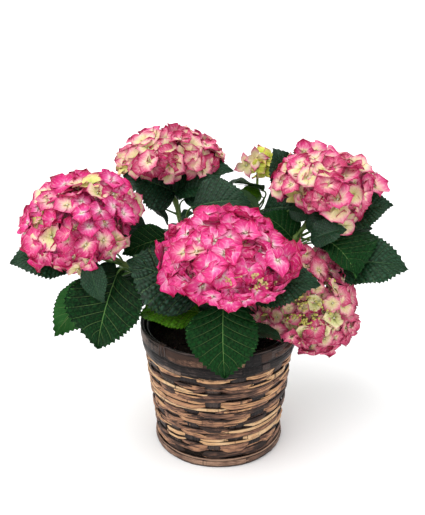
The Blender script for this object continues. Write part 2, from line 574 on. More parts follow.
M_LEAF = {
    "dark": leaf_material("leaf_dark", srgb(4, 22, 15), srgb(22, 58, 32), srgb(72, 108, 68), 0.42,
                          srgb(60, 90, 54), 0.18, srgb(50, 88, 70), 0.95),
    "mid": leaf_material("leaf_mid", srgb(2, 14, 8), srgb(11, 55, 19), srgb(116, 152, 86), 0.48,
                         srgb(44, 92, 42), 0.06, srgb(22, 74, 33), 0.62, web_amt=0.14, lat_amt=0.44),
    "fresh": leaf_material("leaf_fresh", srgb(16, 56, 4), srgb(70, 124, 12), srgb(140, 176, 60), 0.45,
                           srgb(104, 142, 46), 0.14, srgb(84, 136, 24), 0.6),
}
M_LEAF["deep"] = M_LEAF["dark"]


# ------------------------------------------------------------------ leaves
OUT_U = np.array([0, 0.03, 0.08, 0.18, 0.32, 0.46, 0.60, 0.74, 0.86, 0.94, 1.0])
OUT_W = np.array([0.05, 0.24, 0.50, 0.82, 0.99, 1.0, 0.88, 0.64, 0.35, 0.14, 0.0])


def outline(u):
    """smooth ovate outline through the named widths"""
    # monotone cubic through the knots
    h = np.diff(OUT_U)
    d = np.diff(OUT_W) / h
    m = np.zeros(len(OUT_U))
    m[1:-1] = np.where(d[:-1] * d[1:] > 0, 2 * d[:-1] * d[1:] / (d[:-1] + d[1:] + 1e-9), 0)
    m[0], m[-1] = d[0], d[-1]
    i = np.clip(np.searchsorted(OUT_U, u) - 1, 0, len(h) - 1)
    t = (u - OUT_U[i]) / h[i]
    return ((2 * t ** 3 - 3 * t ** 2 + 1) * OUT_W[i] + (t ** 3 - 2 * t ** 2 + t) * h[i] * m[i]
            + (-2 * t ** 3 + 3 * t ** 2) * OUT_W[i + 1] + (t ** 3 - t ** 2) * h[i] * m[i + 1])


def leaf_frame(row):
    stem, t, paz, pel, plen, baz, bel, blen, roll, half, arch = row[:11]
    root = bezier(STEMS[stem][0], np.array([t]))[0]
    D = heading(baz, bel)
    s0 = vec(math.sin(math.radians(baz)), -math.cos(math.radians(baz)), 0)
    n0 = np.cross(s0, D)
    S = unit(s0 * math.cos(math.radians(roll)) + n0 * math.sin(math.radians(roll)))
    N = unit(np.cross(S, D))
    base = root + heading(paz, pel) * plen
    return root, base, D, S, N


def blade(shells, row, seed, fine=False, quilt=1.0, halves=(1.0, 1.0), close=0.0):
    root, base, D, S, N = leaf_frame(row)
    blen, half, arch = row[7], row[9], row[10]
    tint, var = row[11], row[12]
    shell = shells[tint]
    r = np.random.RandomState(seed)
    small = half < 20
    teeth = TEETH if not small else 13
    n = teeth * (4 if fine else 3) + 1
    cc = (52 if not small else 24) if fine else (24 if not small else 12)
    u = np.linspace(0, 1, n)[:, None] * np.ones((1, cc + 1))
    v = np.linspace(-1, 1, cc + 1)[None, :] * np.ones((n, 1))
    av = np.abs(v)
    w = outline(u) * half
    # teeth point towards the tip
    ph = (u * teeth + 0.15 * np.sin(u * 23 + seed)) % 1.0
    saw = np.where(ph < 0.72, ph / 0.72, (1 - ph) / 0.28)
    env = smooth01(u / 0.10) * smooth01((1 - u) / 0.05)
    size = (0.9 + 0.3 * np.sin(u * 9 + seed * 1.7)) * env
    edge = smooth01((av - 0.76) / 0.24)
    tooth = saw * size * edge * half * (0.092 if not small else 0.12)
    x = v * w + np.sign(v) * tooth
    fwd = (saw - 0.4) * size * edge * half * 0.050
    lob = 1 + 0.03 * np.sin(u * 7 + seed) * np.sign(v)
    lob = lob * np.where(v > 0, halves[1], halves[0])
    x = x * lob
    # veins, quilting and puckers, in mm
    run = av * (1 - 0.25 * av)
    q = u - run * VEIN_RUN - VEIN_START + np.sign(v) * 0.012
    cell_u = q / VEIN_STEP
    f = cell_u % 1.0
    near = np.minimum(f, 1 - f)
    k = half / 38.0
    inside = smooth01((1.02 - av) / 0.25)
    puff = (np.sin(np.pi * f) ** 0.7 - 0.65) * 1.5 * k * inside * smooth01(av / 0.06)
    across = av * 6.0 + 0.5 * np.floor(cell_u * 2) + 0.35 * np.sin(q * 30 + seed)
    pillow = np.abs(np.sin(np.pi * cell_u * 2)) ** 0.6 * np.abs(np.sin(np.pi * across)) ** 0.55
    pillow = (pillow - 0.55) * 1.25 * quilt * k * inside * smooth01(av / 0.05)
    grain = 0.16 * k * np.sin(av * 61 + q * 50 + seed) * np.sin(q * 118 + av * 9) * inside
    midrib = -1.1 * k * np.exp(-(av * w / 1.5) ** 2) * smooth01((1 - u) / 0.2)
    relief = puff * quilt + pillow + grain + midrib
    # broad form: arch along, fold across, waves on the margin, drooping tip
    a1, a2 = r.uniform(0, 6.3, 2)
    wave = (2.0 * np.sin(u * 11 + a1 + 1.3 * np.sign(v)) + 1.2 * np.sin(u * 19 + a2)) * k * av ** 2.2
    fold = (FOLD + close * (v > 0)) * w * (1.35 * av - 0.42 * av ** 2)
    bend = arch * 4 * u * (1 - u)
    tipd = -0.06 * blen * smooth01((u - 0.78) / 0.22) ** 1.5
    twist = r.uniform(-0.10, 0.10) * (u - 0.4) * v * w
    h = bend + fold + wave + relief + tipd + twist
    sway = r.uniform(-1, 1) * 0.03 * blen * np.sin(np.pi * u * 0.9)
    P = (base + D * ((u * blen) + fwd)[..., None] + S * (x + sway)[..., None] + N * h[..., None])
    uv = np.stack([0.01 + 0.98 * u, (var + 0.5 + 0.46 * v) / 4.0], -1)
    shell.grid(P, uv)
    # underside, close below and just inside the margin, coarser
    ru = np.unique(np.append(np.arange(0, n, 1 if not fine else 2), n - 1))
    rv = np.unique(np.append(np.arange(0, cc + 1, 3 if fine else 2), cc))
    pick = np.ix_(ru, rv)
    hb = (bend + fold + wave + puff * 0.5 + midrib + tipd + twist)[pick] - 1.0 * k
    shrink = (1 - 0.03 * smooth01((av[pick] - 0.8) / 0.2))
    Pb = (base + D * (u[pick] * blen + fwd[pick] * 0.9)[..., None]
          + S * (x[pick] * shrink + sway[pick])[..., None] + N * hb[..., None])
    rim_down = smooth01((av[pick] - 0.7) / 0.3)
    Pb = Pb + N * (0.75 * k * rim_down)[..., None]
    uvb = np.stack([0.01 + 0.98 * u[pick], (3 + 0.5 + 0.46 * v[pick]) / 4.0], -1)
    shell.grid(Pb, uvb, flip=True)
    return root, base, D, S, N


# widths of the two halves of the lopsided leaves
HALVES = {"right_fold": (1.35, 0.42), "left_small": (1.0, 0.75), "left_hang": (0.90, 1.40),
          "left_broad": (1.0, 1.06), "back_right": (1.25, 0.95)}
leaf_shells = {"dark": Shell(), "deep": Shell(), "mid": Shell(), "fresh": Shell()}
stalks = Shell()
stalk_list = []
DEEP = set()
for i, (name, row) in enumerate(list(LEAVES.items()) + list(SHOOTS.items())):
    if row[11] == "dark" and (name.startswith("rear") or name.startswith("right") or name.startswith("side")):
        row = row[:11] + ("deep",) + row[12:]
        DEEP.add(name)
    fine = name in FRONTAL
    root, base, D, S, N = blade(leaf_shells, row, 100 + i, fine, 1.35 if name == "quilted" else 0.8
                                if name in ("front", "left_broad", "bright") else 1.0,
                                HALVES.get(name, (1.0, 1.0)), -0.34 if name == "right_fold" else 0.0)
    stalk_list.append((root, base, D, N, row))


# ------------------------------------------------------------------ stems
def stem_material():
    m = Mat("green_stem", rough=0.5, spec=0.35)
    u, v = m.uv()
    long = m.noise(m.xyz(m.math("MULTIPLY", u, 60.0), m.math("MULTIPLY", v, 4.0)), 2.0, 3.0)
    fleck = m.noise(m.xyz(m.math("MULTIPLY", u, 20.0), m.math("MULTIPLY", v, 60.0)), 3.0, 2.0)
    base = m.ramp(long, [(0.3, srgb(74, 104, 44)), (0.7, srgb(124, 150, 74))])
    woody = m.span(v, 0.0, 0.35, 0.85, 0.0)
    base = m.mix(woody, base, m.ramp(fleck, [(0.35, srgb(78, 62, 42)), (0.7, srgb(128, 108, 74))]))
    spots = m.span(fleck, 0.64, 0.72, 0.0, 0.6)
    base = m.mix(spots, base, srgb(96, 60, 50))
    return m.base(base)


M_STEM = stem_material()
M_STALK = Mat("leaf_stalk", rough=0.45, spec=0.4, base=srgb(72, 106, 44)).m

stem_shell = Shell()
for i, (name, (P, rr)) in enumerate(STEMS.items()):
    n = 64
    t = np.linspace(0, 1, n)
    pts = bezier(P, t)
    rad = rr[0] + (rr[1] - rr[0]) * t
    for row in LEAVES.values():                 # swollen nodes where leaves join
        if row[0] == name:
            rad = rad + 0.9 * np.exp(-((t - row[1]) / 0.016) ** 2)
    pts = pts + np.stack([ripple(t * 9, 0, 0, 40 + i), ripple(t * 9, 3, 0, 50 + i),
                          np.zeros(n)], -1) * 0.7 * np.sin(np.pi * t)[:, None]
    sides = 14
    sh = Shell()
    tube(sh, pts, rad, sides, uv=(i / 8 + 0.005, 0.01, i / 8 + 0.12, 0.99))
    Pm = sh.v[0]
    a = np.tile(np.arange(sides) * 2 * math.pi / sides, n + 2)
    z = np.repeat(np.arange(n + 2), sides)
    ctr = np.repeat(np.concatenate([pts[:1], pts, pts[-1:]]), sides, axis=0)
    rib = 1 + 0.045 * np.sin(a * 6) + 0.03 * ripple(z * 0.9, a * 2, 0, 60 + i)
    sh.v[0] = ctr + (Pm - ctr) * rib[:, None]
    # the map runs up the stem in v, so that it browns towards the foot
    sh.uq[0] = np.stack([i / 8 + (sh.uq[0][..., 1] - 0.01) * 0.115, 0.01 + (sh.uq[0][..., 0] - i / 8) * 8.1], -1)
    base_n = stem_shell.n
    stem_shell.v.append(sh.v[0])
    stem_shell.q.append(sh.q[0] + base_n)
    stem_shell.uq.append(sh.uq[0])
    stem_shell.mq.append(sh.mq[0])
    stem_shell.n += sh.n
# short woody crown with ridged bark
n, sides = 26, 40
zz = np.linspace(108, 150, n)
aa = np.arange(sides) * 2 * math.pi / sides
prof = np.interp(zz, [108, 132, 145, 149, 150], [9, 11, 10, 6, 0.4])
A, Z = np.meshgrid(aa, zz)
rr = prof[:, None] * (1 + 0.07 * np.sin(A * 9 + 0.15 * Z) + 0.05 * ripple(A * 3, Z * 0.3, 0, 5))
crown = np.stack([rr * np.cos(A), rr * np.sin(A), Z], -1)
cu = np.stack(np.meshgrid(np.linspace(0.76, 0.99, sides + 1), np.linspace(0.01, 0.30, n)), -1)
stem_shell.grid(crown, cu, wrap=True, flip=True)
stem_shell.make("hydrangea_stems", [M_STEM], "green_stem",
                ["stem_" + k for k in STEMS] + ["main_stem_crown"])

for k, (root, base, D, N, row) in enumerate(stalk_list):
    half = row[9]
    r = np.random.RandomState(900 + k)
    L = np.linalg.norm(base - root)
    mid = (root + base) / 2 + vec(0, 0, 1) * (-0.06 * L) + r.normal(size=3) * 0.02 * L
    t = np.linspace(0, 1, 14)
    P = [root, root + (mid - root) * 0.8, base - D * min(14, 0.4 * L), base + D * 4 - N * 0.9]
    pts = bezier(P, t)
    s = min(1.0, 0.55 + half / 80)
    rad = (1.9 - 0.7 * t + 1.1 * np.exp(-(t / 0.10) ** 2)) * s
    tube(stalks, pts, rad, 9)
    # midrib ridge on the underside of the blade
    u = np.linspace(0.0, 0.86, 12)
    under = base + D * (u * row[7])[:, None] + N * (row[10] * 4 * u * (1 - u) - 2.3 * half / 38.0 - 0.5)[:, None]
    tube(stalks, under, np.linspace(1.0, 0.3, 12) * s, 6)
stalks.make("hydrangea_leaf_stalks", [M_STALK], "green_stem", uv=False)


# ------------------------------------------------------------------ flower heads
PET_S = np.array([0, 0.08, 0.20, 0.34, 0.46, 0.58, 0.70, 0.82, 0.92, 1.0])
PET_W = np.array([0.16, 0.36, 0.68, 0.94, 1.0, 0.90, 0.67, 0.38, 0.16, 0.0])


def floret(shell, beads, c, n, size, tint, r, res=(9, 8), eye=True, cup=None, broad=1.0, spin=None):
    """four broad pointed sepals round a small bead"""
    tint = tint * 3 + int(c[0] * 7 + c[1] * 3 + c[2] * 5) % 3
    up = unit(n)
    a = vec(0, 0, 1) if abs(up[2]) < 0.9 else vec(1, 0, 0)
    e1 = unit(np.cross(a, up))
    e2 = np.cross(up, e1)
    spin = r.uniform(0, math.pi / 2) if spin is None else spin
    s = np.linspace(0, 1, res[0])[:, None] * np.ones((1, res[1] + 1))
    t = np.linspace(-1, 1, res[1] + 1)[None, :] * np.ones((res[0], 1))
    s = s ** 0.9
    wid = np.interp(s, PET_S, PET_W)
    lift_pair = r.uniform(0.25, 0.8)
    rise = r.uniform(-0.02, 0.52) if cup is None else cup
    at = np.abs(t)
    for k in range(4):
        ang = spin + k * math.pi / 2 + r.normal() * 0.09
        L = size * 0.5 * r.uniform(0.92, 1.20)
        W = L * r.uniform(0.58, 0.72) * broad
        x = L * s * (1 + 0.05 * np.cos(at * 2.5))
        jag = 1 + 0.035 * np.sin(s * 26 + k + size) * at ** 3
        y = W * wid * t * jag
        ph = r.uniform(0, 6.3)
        z = L * (rise * s + r.uniform(-0.10, 0.16) * s - (0.20 + r.uniform(-0.14, 0.22)) * s ** 2.6)
        z = z + W * r.uniform(-0.16, 0.34) * t * t * (0.3 + 0.7 * s)           # cupped or spread
        z = z + L * 0.060 * np.sin(6.5 * s + ph) * at ** 1.6 * np.sign(t + 0.01)
        z = z + L * 0.055 * np.sin(9.0 * s + ph * 1.7) * t * t
        z = z - L * 0.050 * np.exp(-(t * 3.0) ** 2) * np.sin(np.pi * np.clip(s, 0, 1)) ** 0.7
        z = z + L * 0.024 * np.cos(t * 9 + ph) * np.sin(np.pi * np.clip(s, 0, 1))
        z = z + (lift_pair if k % 2 else 0.0) + 0.12 * k
        z = z + r.uniform(-0.20, 0.20) * y                                      # tipped sideways
        d = e1 * math.cos(ang) + e2 * math.sin(ang)
        b = e2 * math.cos(ang) - e1 * math.sin(ang)
        P = c + d * x[..., None] + b * y[..., None] + up * z[..., None]
        uv = np.stack([0.01 + 0.98 * s, (tint + 0.5 + 0.46 * t) / ROWS], -1)
        shell.grid(P, uv, flip=True)
    if eye:
        V, T = ICO1
        beads.body(c + up * 1.2 + V * (size * 0.036), T)
        if r.rand() < 0.5:
            V, T = ICO0
            for _ in range(3):                                                  # stamens round the bead
                o = e1 * r.normal() + e2 * r.normal()
                beads.body(c + up * 1.6 + unit(o) * size * 0.05 + V * (size * 0.012), T)


# the florets' own reach is taken off the radius of their head
DRAW = {HEADS[k][3]: f for k, f in (("front", (0.90, 0.88)), ("left", (0.96, 0.95)), ("back", (0.92, 0.90)),
                                    ("right", (0.94, 0.97)))}


# how far each head reaches from a middle point, seen from the front, every
# fifteen degrees from its right side over its top
REACH = {
    "front": ((228, 258), (72, 65, 57, 54, 54, 55, 54, 56, 62, 57, 69, 69, 76, 70, 63, 65, 58, 54, 58, 64, 60,
                           64, 76, 73)),
    "left": ((78, 222), (57, 70, 66, 63, 62, 55, 50, 50, 44, 53, 54, 55, 63, 63, 67, 58, 54, 46, 57, 54, 58,
                         55, 58, 52)),
    "back": ((170, 156), (55, 52, 41, 40, 37, 32, 31, 34, 36, 37, 43, 49, 54, 54, 42, 32, 27, 23, 20, 17, 18,
                          30, 39, 53)),
    "right": ((328, 186), (52, 54, 48, 38, 39, 40, 43, 46, 53, 54, 56, 58, 64, 45, 42, 38, 26, 23, 29, 48, 46,
                           51, 46, 49)),
    "low": ((318, 305), (41, 43, 46, 49, 54, 60, 60, 58, 52, 50, 50, 60, 70, 68, 57, 44, 48, 54, 48, 50, 43,
                         45, 48, 41)),
}
EYE = vec(-6.9, -853.2, 573.5)
AHEAD = vec(0, math.sin(math.radians(68.8)), -math.cos(math.radians(68.8)))
ALOFT = vec(0, math.cos(math.radians(68.8)), math.sin(math.radians(68.8)))


def seen(p):
    """place from the front: right, up and the distance ahead"""
    v = np.asarray(p, float) - EYE
    d = v @ AHEAD
    return v[..., 0] / d * 765.0, v @ ALOFT / d * 765.0, d


def dome(h, th, ph):
    """point and normal on the plain dome, th from the axis, ph round it"""
    c, az, el, R, top, bot = h
    ax = heading(az, el)
    dr = DRAW.get(R, (1.0, 1.0))
    R, top = R * dr[0], top * dr[1]
    q = Vector((0, 0, 1)).rotation_difference(Vector(ax))
    x, y, z = math.sin(th) * math.cos(ph), math.sin(th) * math.sin(ph), math.cos(th)
    kz = top if z > 0 else bot
    flat = 1 + (0.10 * math.sin(math.pi * -z) if z < 0 else 0)
    p = Vector((x * R * flat, y * R * flat, z * kz))
    nn = Vector((x / R, y / R, z / kz)).normalized()
    p.rotate(q)
    nn.rotate(q)
    return np.array(p) + np.array(c, float), np.array(nn), ax


FIT = {}


def fit(name, h, lim, reach):
    """how much the dome must be drawn out or in, bearing by bearing"""
    (mx, my), rho = REACH[name]
    r = np.random.RandomState(12)
    edge = np.zeros(48)
    for _ in range(5000):
        z = r.uniform(lim, 1)
        p, n, ax = dome(h, math.acos(z), r.uniform(0, 2 * math.pi))
        x, y, d = seen(p - n * 7)
        x, y = x + 212.5 - mx, y - (257.5 - my)
        b = int(math.degrees(math.atan2(y, x)) % 360 / 7.5) % 48
        edge[b] = max(edge[b], math.hypot(x, y))
    edge = (edge + np.roll(edge, 1) + np.roll(edge, -1)) / 3
    want = np.interp(np.arange(48) * 7.5, np.arange(25) * 15, list(rho) + [rho[0]]) - reach
    FIT[name] = ((mx, my), edge, want)


def head_surface(h, th, ph):
    """point and normal on the uneven dome, drawn to the reach named above"""
    p, n, ax = dome(h, th, ph)
    name = next(k for k, v in HEADS.items() if v is h)
    if name in FIT:
        (mx, my), edge, want = FIT[name]
        x, y, d = seen(p)
        x, y = x + 212.5 - mx, y - (257.5 - my)
        a = math.degrees(math.atan2(y, x)) % 360 / 7.5
        e = np.interp(a, np.arange(49), np.append(edge, edge[0]))
        w = np.interp(a, np.arange(49), np.append(want, want[0]))
        rho = math.hypot(x, y)
        k = 1 + (max(w / e, 0.5) - 1) * min(rho / e, 1.15) ** (0.6 if w < e else 1.0)
        gx, gy = (k - 1) * x * d / 765.0, (k - 1) * y * d / 765.0
        p = p + vec(gx, 0, 0) + ALOFT * gy
    return p, n, ax


TINTS = {   # chance of each row of the map
    "front": [0.47, 0.38, 0.09, 0.05, 0.01, 0.0, 0.0, 0.0],
    "left": [0.22, 0.22, 0.26, 0.18, 0.06, 0.04, 0.02, 0.0],
    "back": [0.02, 0.04, 0.19, 0.19, 0.28, 0.22, 0.04, 0.02],
    "right": [0.11, 0.14, 0.21, 0.18, 0.18, 0.12, 0.04, 0.02],
}
heads_out = {}
beads = Shell()
buds = Shell()
pedicels = Shell()
GOLD = math.pi * (3 - 5 ** 0.5)
# places on the heads left open, with a knot of unopened buds beside them
HOLLOWS = {"front": [(vec(59.8, -123.1, 266.5), 11.0), (vec(43.7, -132.8, 269.4), 8.0)]}
LIME_MIDDLE = unit(vec(104.0, -60.0, 206.0) - vec(111, -10, 188.7))


def spot(px, py, depth):
    """the place seen at px, py from the front and lying at that depth"""
    ray = AHEAD + vec(px - 212.5, 0, 0) / 765.0 + ALOFT * (257.5 - py) / 765.0
    return EYE + ray * (depth - EYE[1]) / ray[1]


HOLLOWS["front"].append((spot(230, 282, -137), 6.5))
# florets that stand out from the dome: seen place, depth, facing, size, tint
EXTRA = {
    "low": [(306, 254, 2, (-0.2, -0.9, 0.4), 25, 1), (313, 262, -2, (-0.2, -0.8, 0.6), 24, 4),
            (321, 258, 6, (0.1, -0.8, 0.5), 24, 4), (329, 266, 2, (0.3, -0.9, 0.3), 26, 1),
            (337, 272, 0, (0.4, -0.8, 0.3), 25, 3), (345, 281, 0, (0.6, -0.7, 0.3), 26, 0),
            (317, 271, -8, (-0.3, -0.9, 0.3), 21, 6), (326, 277, -8, (0.3, -0.9, 0.3), 22, 4),
            (336, 284, -8, (0.4, -0.9, 0.1), 26, 1), (301, 262, 0, (-0.3, -0.9, 0.2), 24, 5),
            (309, 272, -10, (-0.1, -0.95, 0.2), 24, 5), (347, 292, -4, (0.7, -0.7, 0.1), 25, 1),
            (259, 317, -22, (-0.5, -0.8, 0.1), 26, 5), (266, 324, -26, (-0.3, -0.9, -0.1), 26, 4),
            (351, 321, -16, (0.6, -0.7, -0.2), 25, 0), (327, 346, -30, (0.0, -0.9, -0.4), 30, 0),
            (308, 345, -28, (-0.2, -0.9, -0.4), 28, 1),
            (268, 328, -46, (-0.4, -0.8, 0.0), 24, 4), (277, 331, -54, (-0.3, -0.9, 0.1), 25, 1),
            (291, 337, -64, (-0.2, -0.8, -0.4), 23, 1), (263, 322, -36, (-0.4, -0.8, 0.2), 22, 5)],
    "left": [(134, 201, 12, (0.8, -0.6, 0.1), 23, 4),
             (136, 209, 10, (0.8, -0.6, 0.0), 22, 5), (111, 180, 0, (0.4, -0.5, 0.8), 29, 0),
             (118, 187, 0, (0.5, -0.6, 0.6), 29, 1)],
    "back": [(124, 160, 100, (-0.6, -0.7, 0.3), 24, 5), (123, 167, 98, (-0.6, -0.8, 0.0), 20, 6),
             (152, 133, 105, (-0.2, -0.6, 0.8), 26, 1),
             (217, 164, 98, (0.6, -0.7, 0.0), 26, 1),
             (166, 172, 62, (-0.1, -0.9, -0.3), 26, 4), (176, 171, 62, (0.1, -0.9, -0.4), 24, 5)],
    "right": [(304, 152, 46, (-0.3, -0.7, 0.6), 28, 0), (316, 151, 46, (0.0, -0.7, 0.7), 29, 0),
              (366, 182, 32, (0.6, -0.8, 0.1), 25, 1), (344, 226, -2, (0.0, -0.95, -0.2), 30, 5)],
}


def guard(p):
    """true where a floret would cut the basket"""
    rr = math.hypot(p[0], p[1])
    return p[2] < 168 and rr < 106


for hi, (name, h) in enumerate(HEADS.items()):
    if name == "bud":
        continue
    c, az, el, R, top, bot = h
    r = np.random.RandomState(300 + hi)
    shell = Shell()
    heads_out[name] = shell
    stem_end = np.array(STEMS[name][0][3], float)
    size0 = {"front": 33.0, "left": 31.0, "back": 31.0, "right": 32.0, "low": 25.5}[name]
    area = 2 * math.pi * R * R * (0.55 + 0.45 * top / R) + 0.5 * math.pi * R * R
    count = int(area / (size0 * size0 * 0.40))
    lim = math.cos(math.radians({"back": 108, "front": 118}.get(name, 120)))
    made = []
    fit(name, h, lim, size0 * 0.5 * 765.0 / seen(np.array(c, float))[2] * 0.80)
    for k in range(count):
        z = 1 - (k + 0.5) / count * (1 - lim)
        th = math.acos(z) + r.normal() * 0.06
        ph = k * GOLD + r.normal() * 0.12
        p, n, ax = head_surface(h, th, ph)
        out = th / math.pi * 180
        depth = r.uniform(4.0, 10.0) - (3.0 if r.rand() < 0.14 else 0)
        p = p - n * depth
        if guard(p + n * 6):
            continue
        if any(np.linalg.norm(p + n * depth - hp) < hr for hp, hr in HOLLOWS.get(name, [])):
            continue
        # florets near the outline open towards the light at the front
        turn = -float(n @ AHEAD)
        open_ = 0.55 * smooth01((turn + 0.45) / 0.6) * (1 - max(turn, 0)) if turn < 1 else 0.0
        n = unit(n + r.normal(size=3) * 0.30 + vec(0, 0, 0.22 if n[2] > 0 else 0.0) - AHEAD * open_)
        size = size0 * r.uniform(0.86, 1.20) * (0.95 if out > 95 else 1)
        if name == "low":
            # unripe lime middle, dusty rose outside
            d = unit(p - np.array(c))
            off = math.degrees(math.acos(np.clip(d @ LIME_MIDDLE, -1, 1)))
            w = np.clip((off + r.normal() * 12 - 22) / 34, 0, 1)
            tint = r.choice([6, 7, 6, 5]) if w < 0.25 else r.choice([5, 4, 6, 3]) if w < 0.6 \
                else r.choice([0, 1, 2, 3, 4])
            if off < 30:
                size *= 0.74
        else:
            pr = np.array(TINTS[name])
            tint = r.choice(8, p=pr / pr.sum())
            if name == "back" and p[2] > 352 and tint > 5:
                tint = r.choice([2, 3, 4])
            if name == "right" and p[2] > 348 and tint > 3:
                tint = r.choice([0, 1, 2, 3])
            if name == "right" and n[0] > 0.20 and p[2] < 322 and r.rand() < 0.45:
                tint = r.choice([4, 5, 6, 7])
            if name == "back" and p[0] < -88 and p[2] < 350 and r.rand() < 0.6:
                tint = r.choice([3, 4, 5, 6])
            if name == "back" and p[1] < 105 and p[2] < 335 and r.rand() < 0.5:
                tint = r.choice([3, 4, 5, 6])
            if out > 108 and r.rand() < 0.4:
                under_ = r.choice([4, 5, 6])
                tint = tint if name == "front" else under_
        floret(shell, beads, p, n, size, tint, r)
        made.append((p, n))
    for qx, qy, dep, face, size, tint in EXTRA.get(name, []):
        p, n = spot(qx, qy, dep), unit(np.array(face) + r.normal(size=3) * 0.12)
        floret(shell, beads, p, n, size, tint, r)
        made.append((p, n))
    # a second, sunken layer closes the head between the outer florets
    inner = int(count * (0.95 if name == "low" else 0.62))
    for k in range(inner):
        z = 1 - (k + 0.5) / inner * (1 - lim)
        p, n, ax = head_surface(h, math.acos(z), k * GOLD + 1.3)
        p = p - n * r.uniform(13, 18)
        if guard(p + n * 8):
            continue
        tint = r.choice([6, 7, 5]) if name == "low" and r.rand() < 0.4 else r.choice([0, 1, 2, 3])
        floret(shell, beads, p, unit(n + r.normal(size=3) * 0.2), size0 * 0.92, tint, r,
               res=(6, 5), eye=False)
    # branching stalks: limb to rays to florets
    rays = 11
    ray_pts = []
    for k in range(rays):
        z = 1 - (k + 0.5) / rays * (1 - math.cos(math.radians(100)))
        p, n, ax = head_surface(h, math.acos(z), k * GOLD + 0.4)
        mid = stem_end + (p - stem_end) * 0.5 + ax * 4
        t = np.linspace(0, 1, 7)
        tube(pedicels, bezier([stem_end, stem_end + ax * 8, mid, stem_end + (p - stem_end) * 0.62], t),
             np.linspace(1.9, 1.2, 7), 6)
        ray_pts.append(stem_end + (p - stem_end) * 0.62)
    ray_pts = np.array(ray_pts)
    for p, n in made:
        j = int(np.argmin(np.linalg.norm(ray_pts - p, axis=1)))
        a = ray_pts[j]
        t = np.linspace(0, 1, 5)
        tube(pedicels, bezier([a, a + (p - a) * 0.4 + vec(0, 0, -1), p - n * 7, p - n * 0.4], t),
             np.linspace(0.95, 0.6, 5), 5)
    # unopened buds in knots down between the florets
    knots = []
    for hp, hr in HOLLOWS.get(name, [])[1:]:
        n = unit(hp - np.array(c))
        knots += [(hp - n * 7 + r.normal(size=3) * 3.5, n) for _ in range(7)]
    for k in range(30 if name == "low" else 9):
        if name == "low":
            d = unit(LIME_MIDDLE + r.normal(size=3) * 0.32)
            q = Vector((0, 0, 1)).rotation_difference(Vector(heading(az, el)))
            local = Vector(d)
            local.rotate(q.inverted())
            th, ph = math.acos(max(-1, min(1, local.z))), math.atan2(local.y, local.x)
        else:
            th, ph = math.acos(r.uniform(-0.1, 0.9)), r.uniform(0, 6.3)
        p, n, ax = head_surface(h, th, ph)
        base = p - n * (5.5 if name == "low" else 10)
        if not guard(base):
            knots.append((base, n))
    for base, n in knots:
        for _ in range(r.randint(3, 7)):
            o = r.normal(size=3) * 2.6
            o -= n * (o @ n) * 0.5
            rad = r.uniform(0.9, 1.7)
            V, T = ICO1
            q = base + o + n * r.uniform(0, 3)
            buds.body(q + V * rad, T, mat=0 if name == "low" else 1)
            tube(pedicels, np.array([base - n * 6, q]), [0.5, 0.4], 4, closed=False)

# the small unripe cluster: long pointed bracts over a knot of green buds
h = HEADS["bud"]
r = np.random.RandomState(77)
bud_shell = Shell()
stem_end = np.array(STEMS["bud"][0][3], float)
hc = np.array(h[0], float)
SMALL_FLORETS = [   # place seen from the front, depth, facing, size, row, broad, turn
    (255.5, 158.5, 128, (-0.1, -0.92, 0.35), 33, 5, 0.56, 0.06), (246.5, 165.5, 130, (-0.25, -0.9, 0.3), 34, 4, 0.50, 0.34),
    (265.0, 168.5, 128, (0.15, -0.95, 0.0), 30, 7, 0.68, 0.80), (268.5, 159.0, 132, (0.3, -0.85, 0.4), 29, 7, 0.66, 0.30),
    (258.0, 166.0, 124, (0.0, -0.98, 0.15), 24, 7, 0.75, 0.55), (262.0, 154.0, 146, (0.1, -0.5, 0.85), 28, 6, 0.62, 0.20),
    (250.0, 160.0, 148, (-0.5, 0.3, 0.7), 28, 7, 0.70, 0.90), (264.0, 163.0, 152, (0.3, 0.85, 0.4), 30, 6, 0.66, 0.10),
    (254.0, 168.0, 150, (-0.3, 0.8, 0.2), 28, 7, 0.70, 0.60), (270.0, 166.0, 144, (0.9, 0.2, 0.1), 26, 7, 0.75, 1.10),
    (259.0, 173.0, 140, (0.0, -0.3, -0.9), 22, 7, 0.80, 0.40)]
for qx, qy, depth, face, size, tint, broad, turn in SMALL_FLORETS:
    ray = AHEAD + vec(qx - 212.5, 0, 0) / 765.0 + ALOFT * (257.5 - qy) / 765.0
    p = EYE + ray * (depth - EYE[1]) / ray[1]
    n = unit(np.array(face) + r.normal(size=3) * 0.08)
    floret(bud_shell, beads, p, n, size, tint, r, cup=0.34, broad=broad, spin=turn)
    t = np.linspace(0, 1, 5)
    tube(pedicels, bezier([stem_end, stem_end + vec(0, 0, 5), p - n * 5, p], t), np.linspace(1.0, 0.5, 5), 5)
for k in range(26):
    d = unit(r.normal(size=3) + vec(0, -0.4, 0.3))
    V, T = ICO1
    buds.body(hc + d * r.uniform(5, 13) * (1, 1, 0.8) + V * r.uniform(0.9, 1.7), T)

heads_out["front"].make("blossom_front", [M_PETAL], "petal", ["bloom_front"])
heads_out["left"].make("blossom_left", [M_PETAL], "petal", ["bloom_left"])
heads_out["back"].make("blossom_back", [M_BLUSH], "petal", ["bloom_back"])
heads_out["right"].make("blossom_right", [M_BLUSH], "petal", ["bloom_right"])
heads_out["low"].make("blossom_low_right", [M_DUSTY], "petal_dusty", ["bloom_low"])
bud_shell.make("blossom_small", [M_LIME], "petal_lime", ["bloom_bud"])
beads.make("blossom_beads", [M_BEAD], "petal_lime", uv=False)
buds.make("blossom_buds", [M_BUD, M_KNOT], "petal_lime", uv=False)
pedicels.make("blossom_stalks", [M_PEDICEL], "green_stem", uv=False)

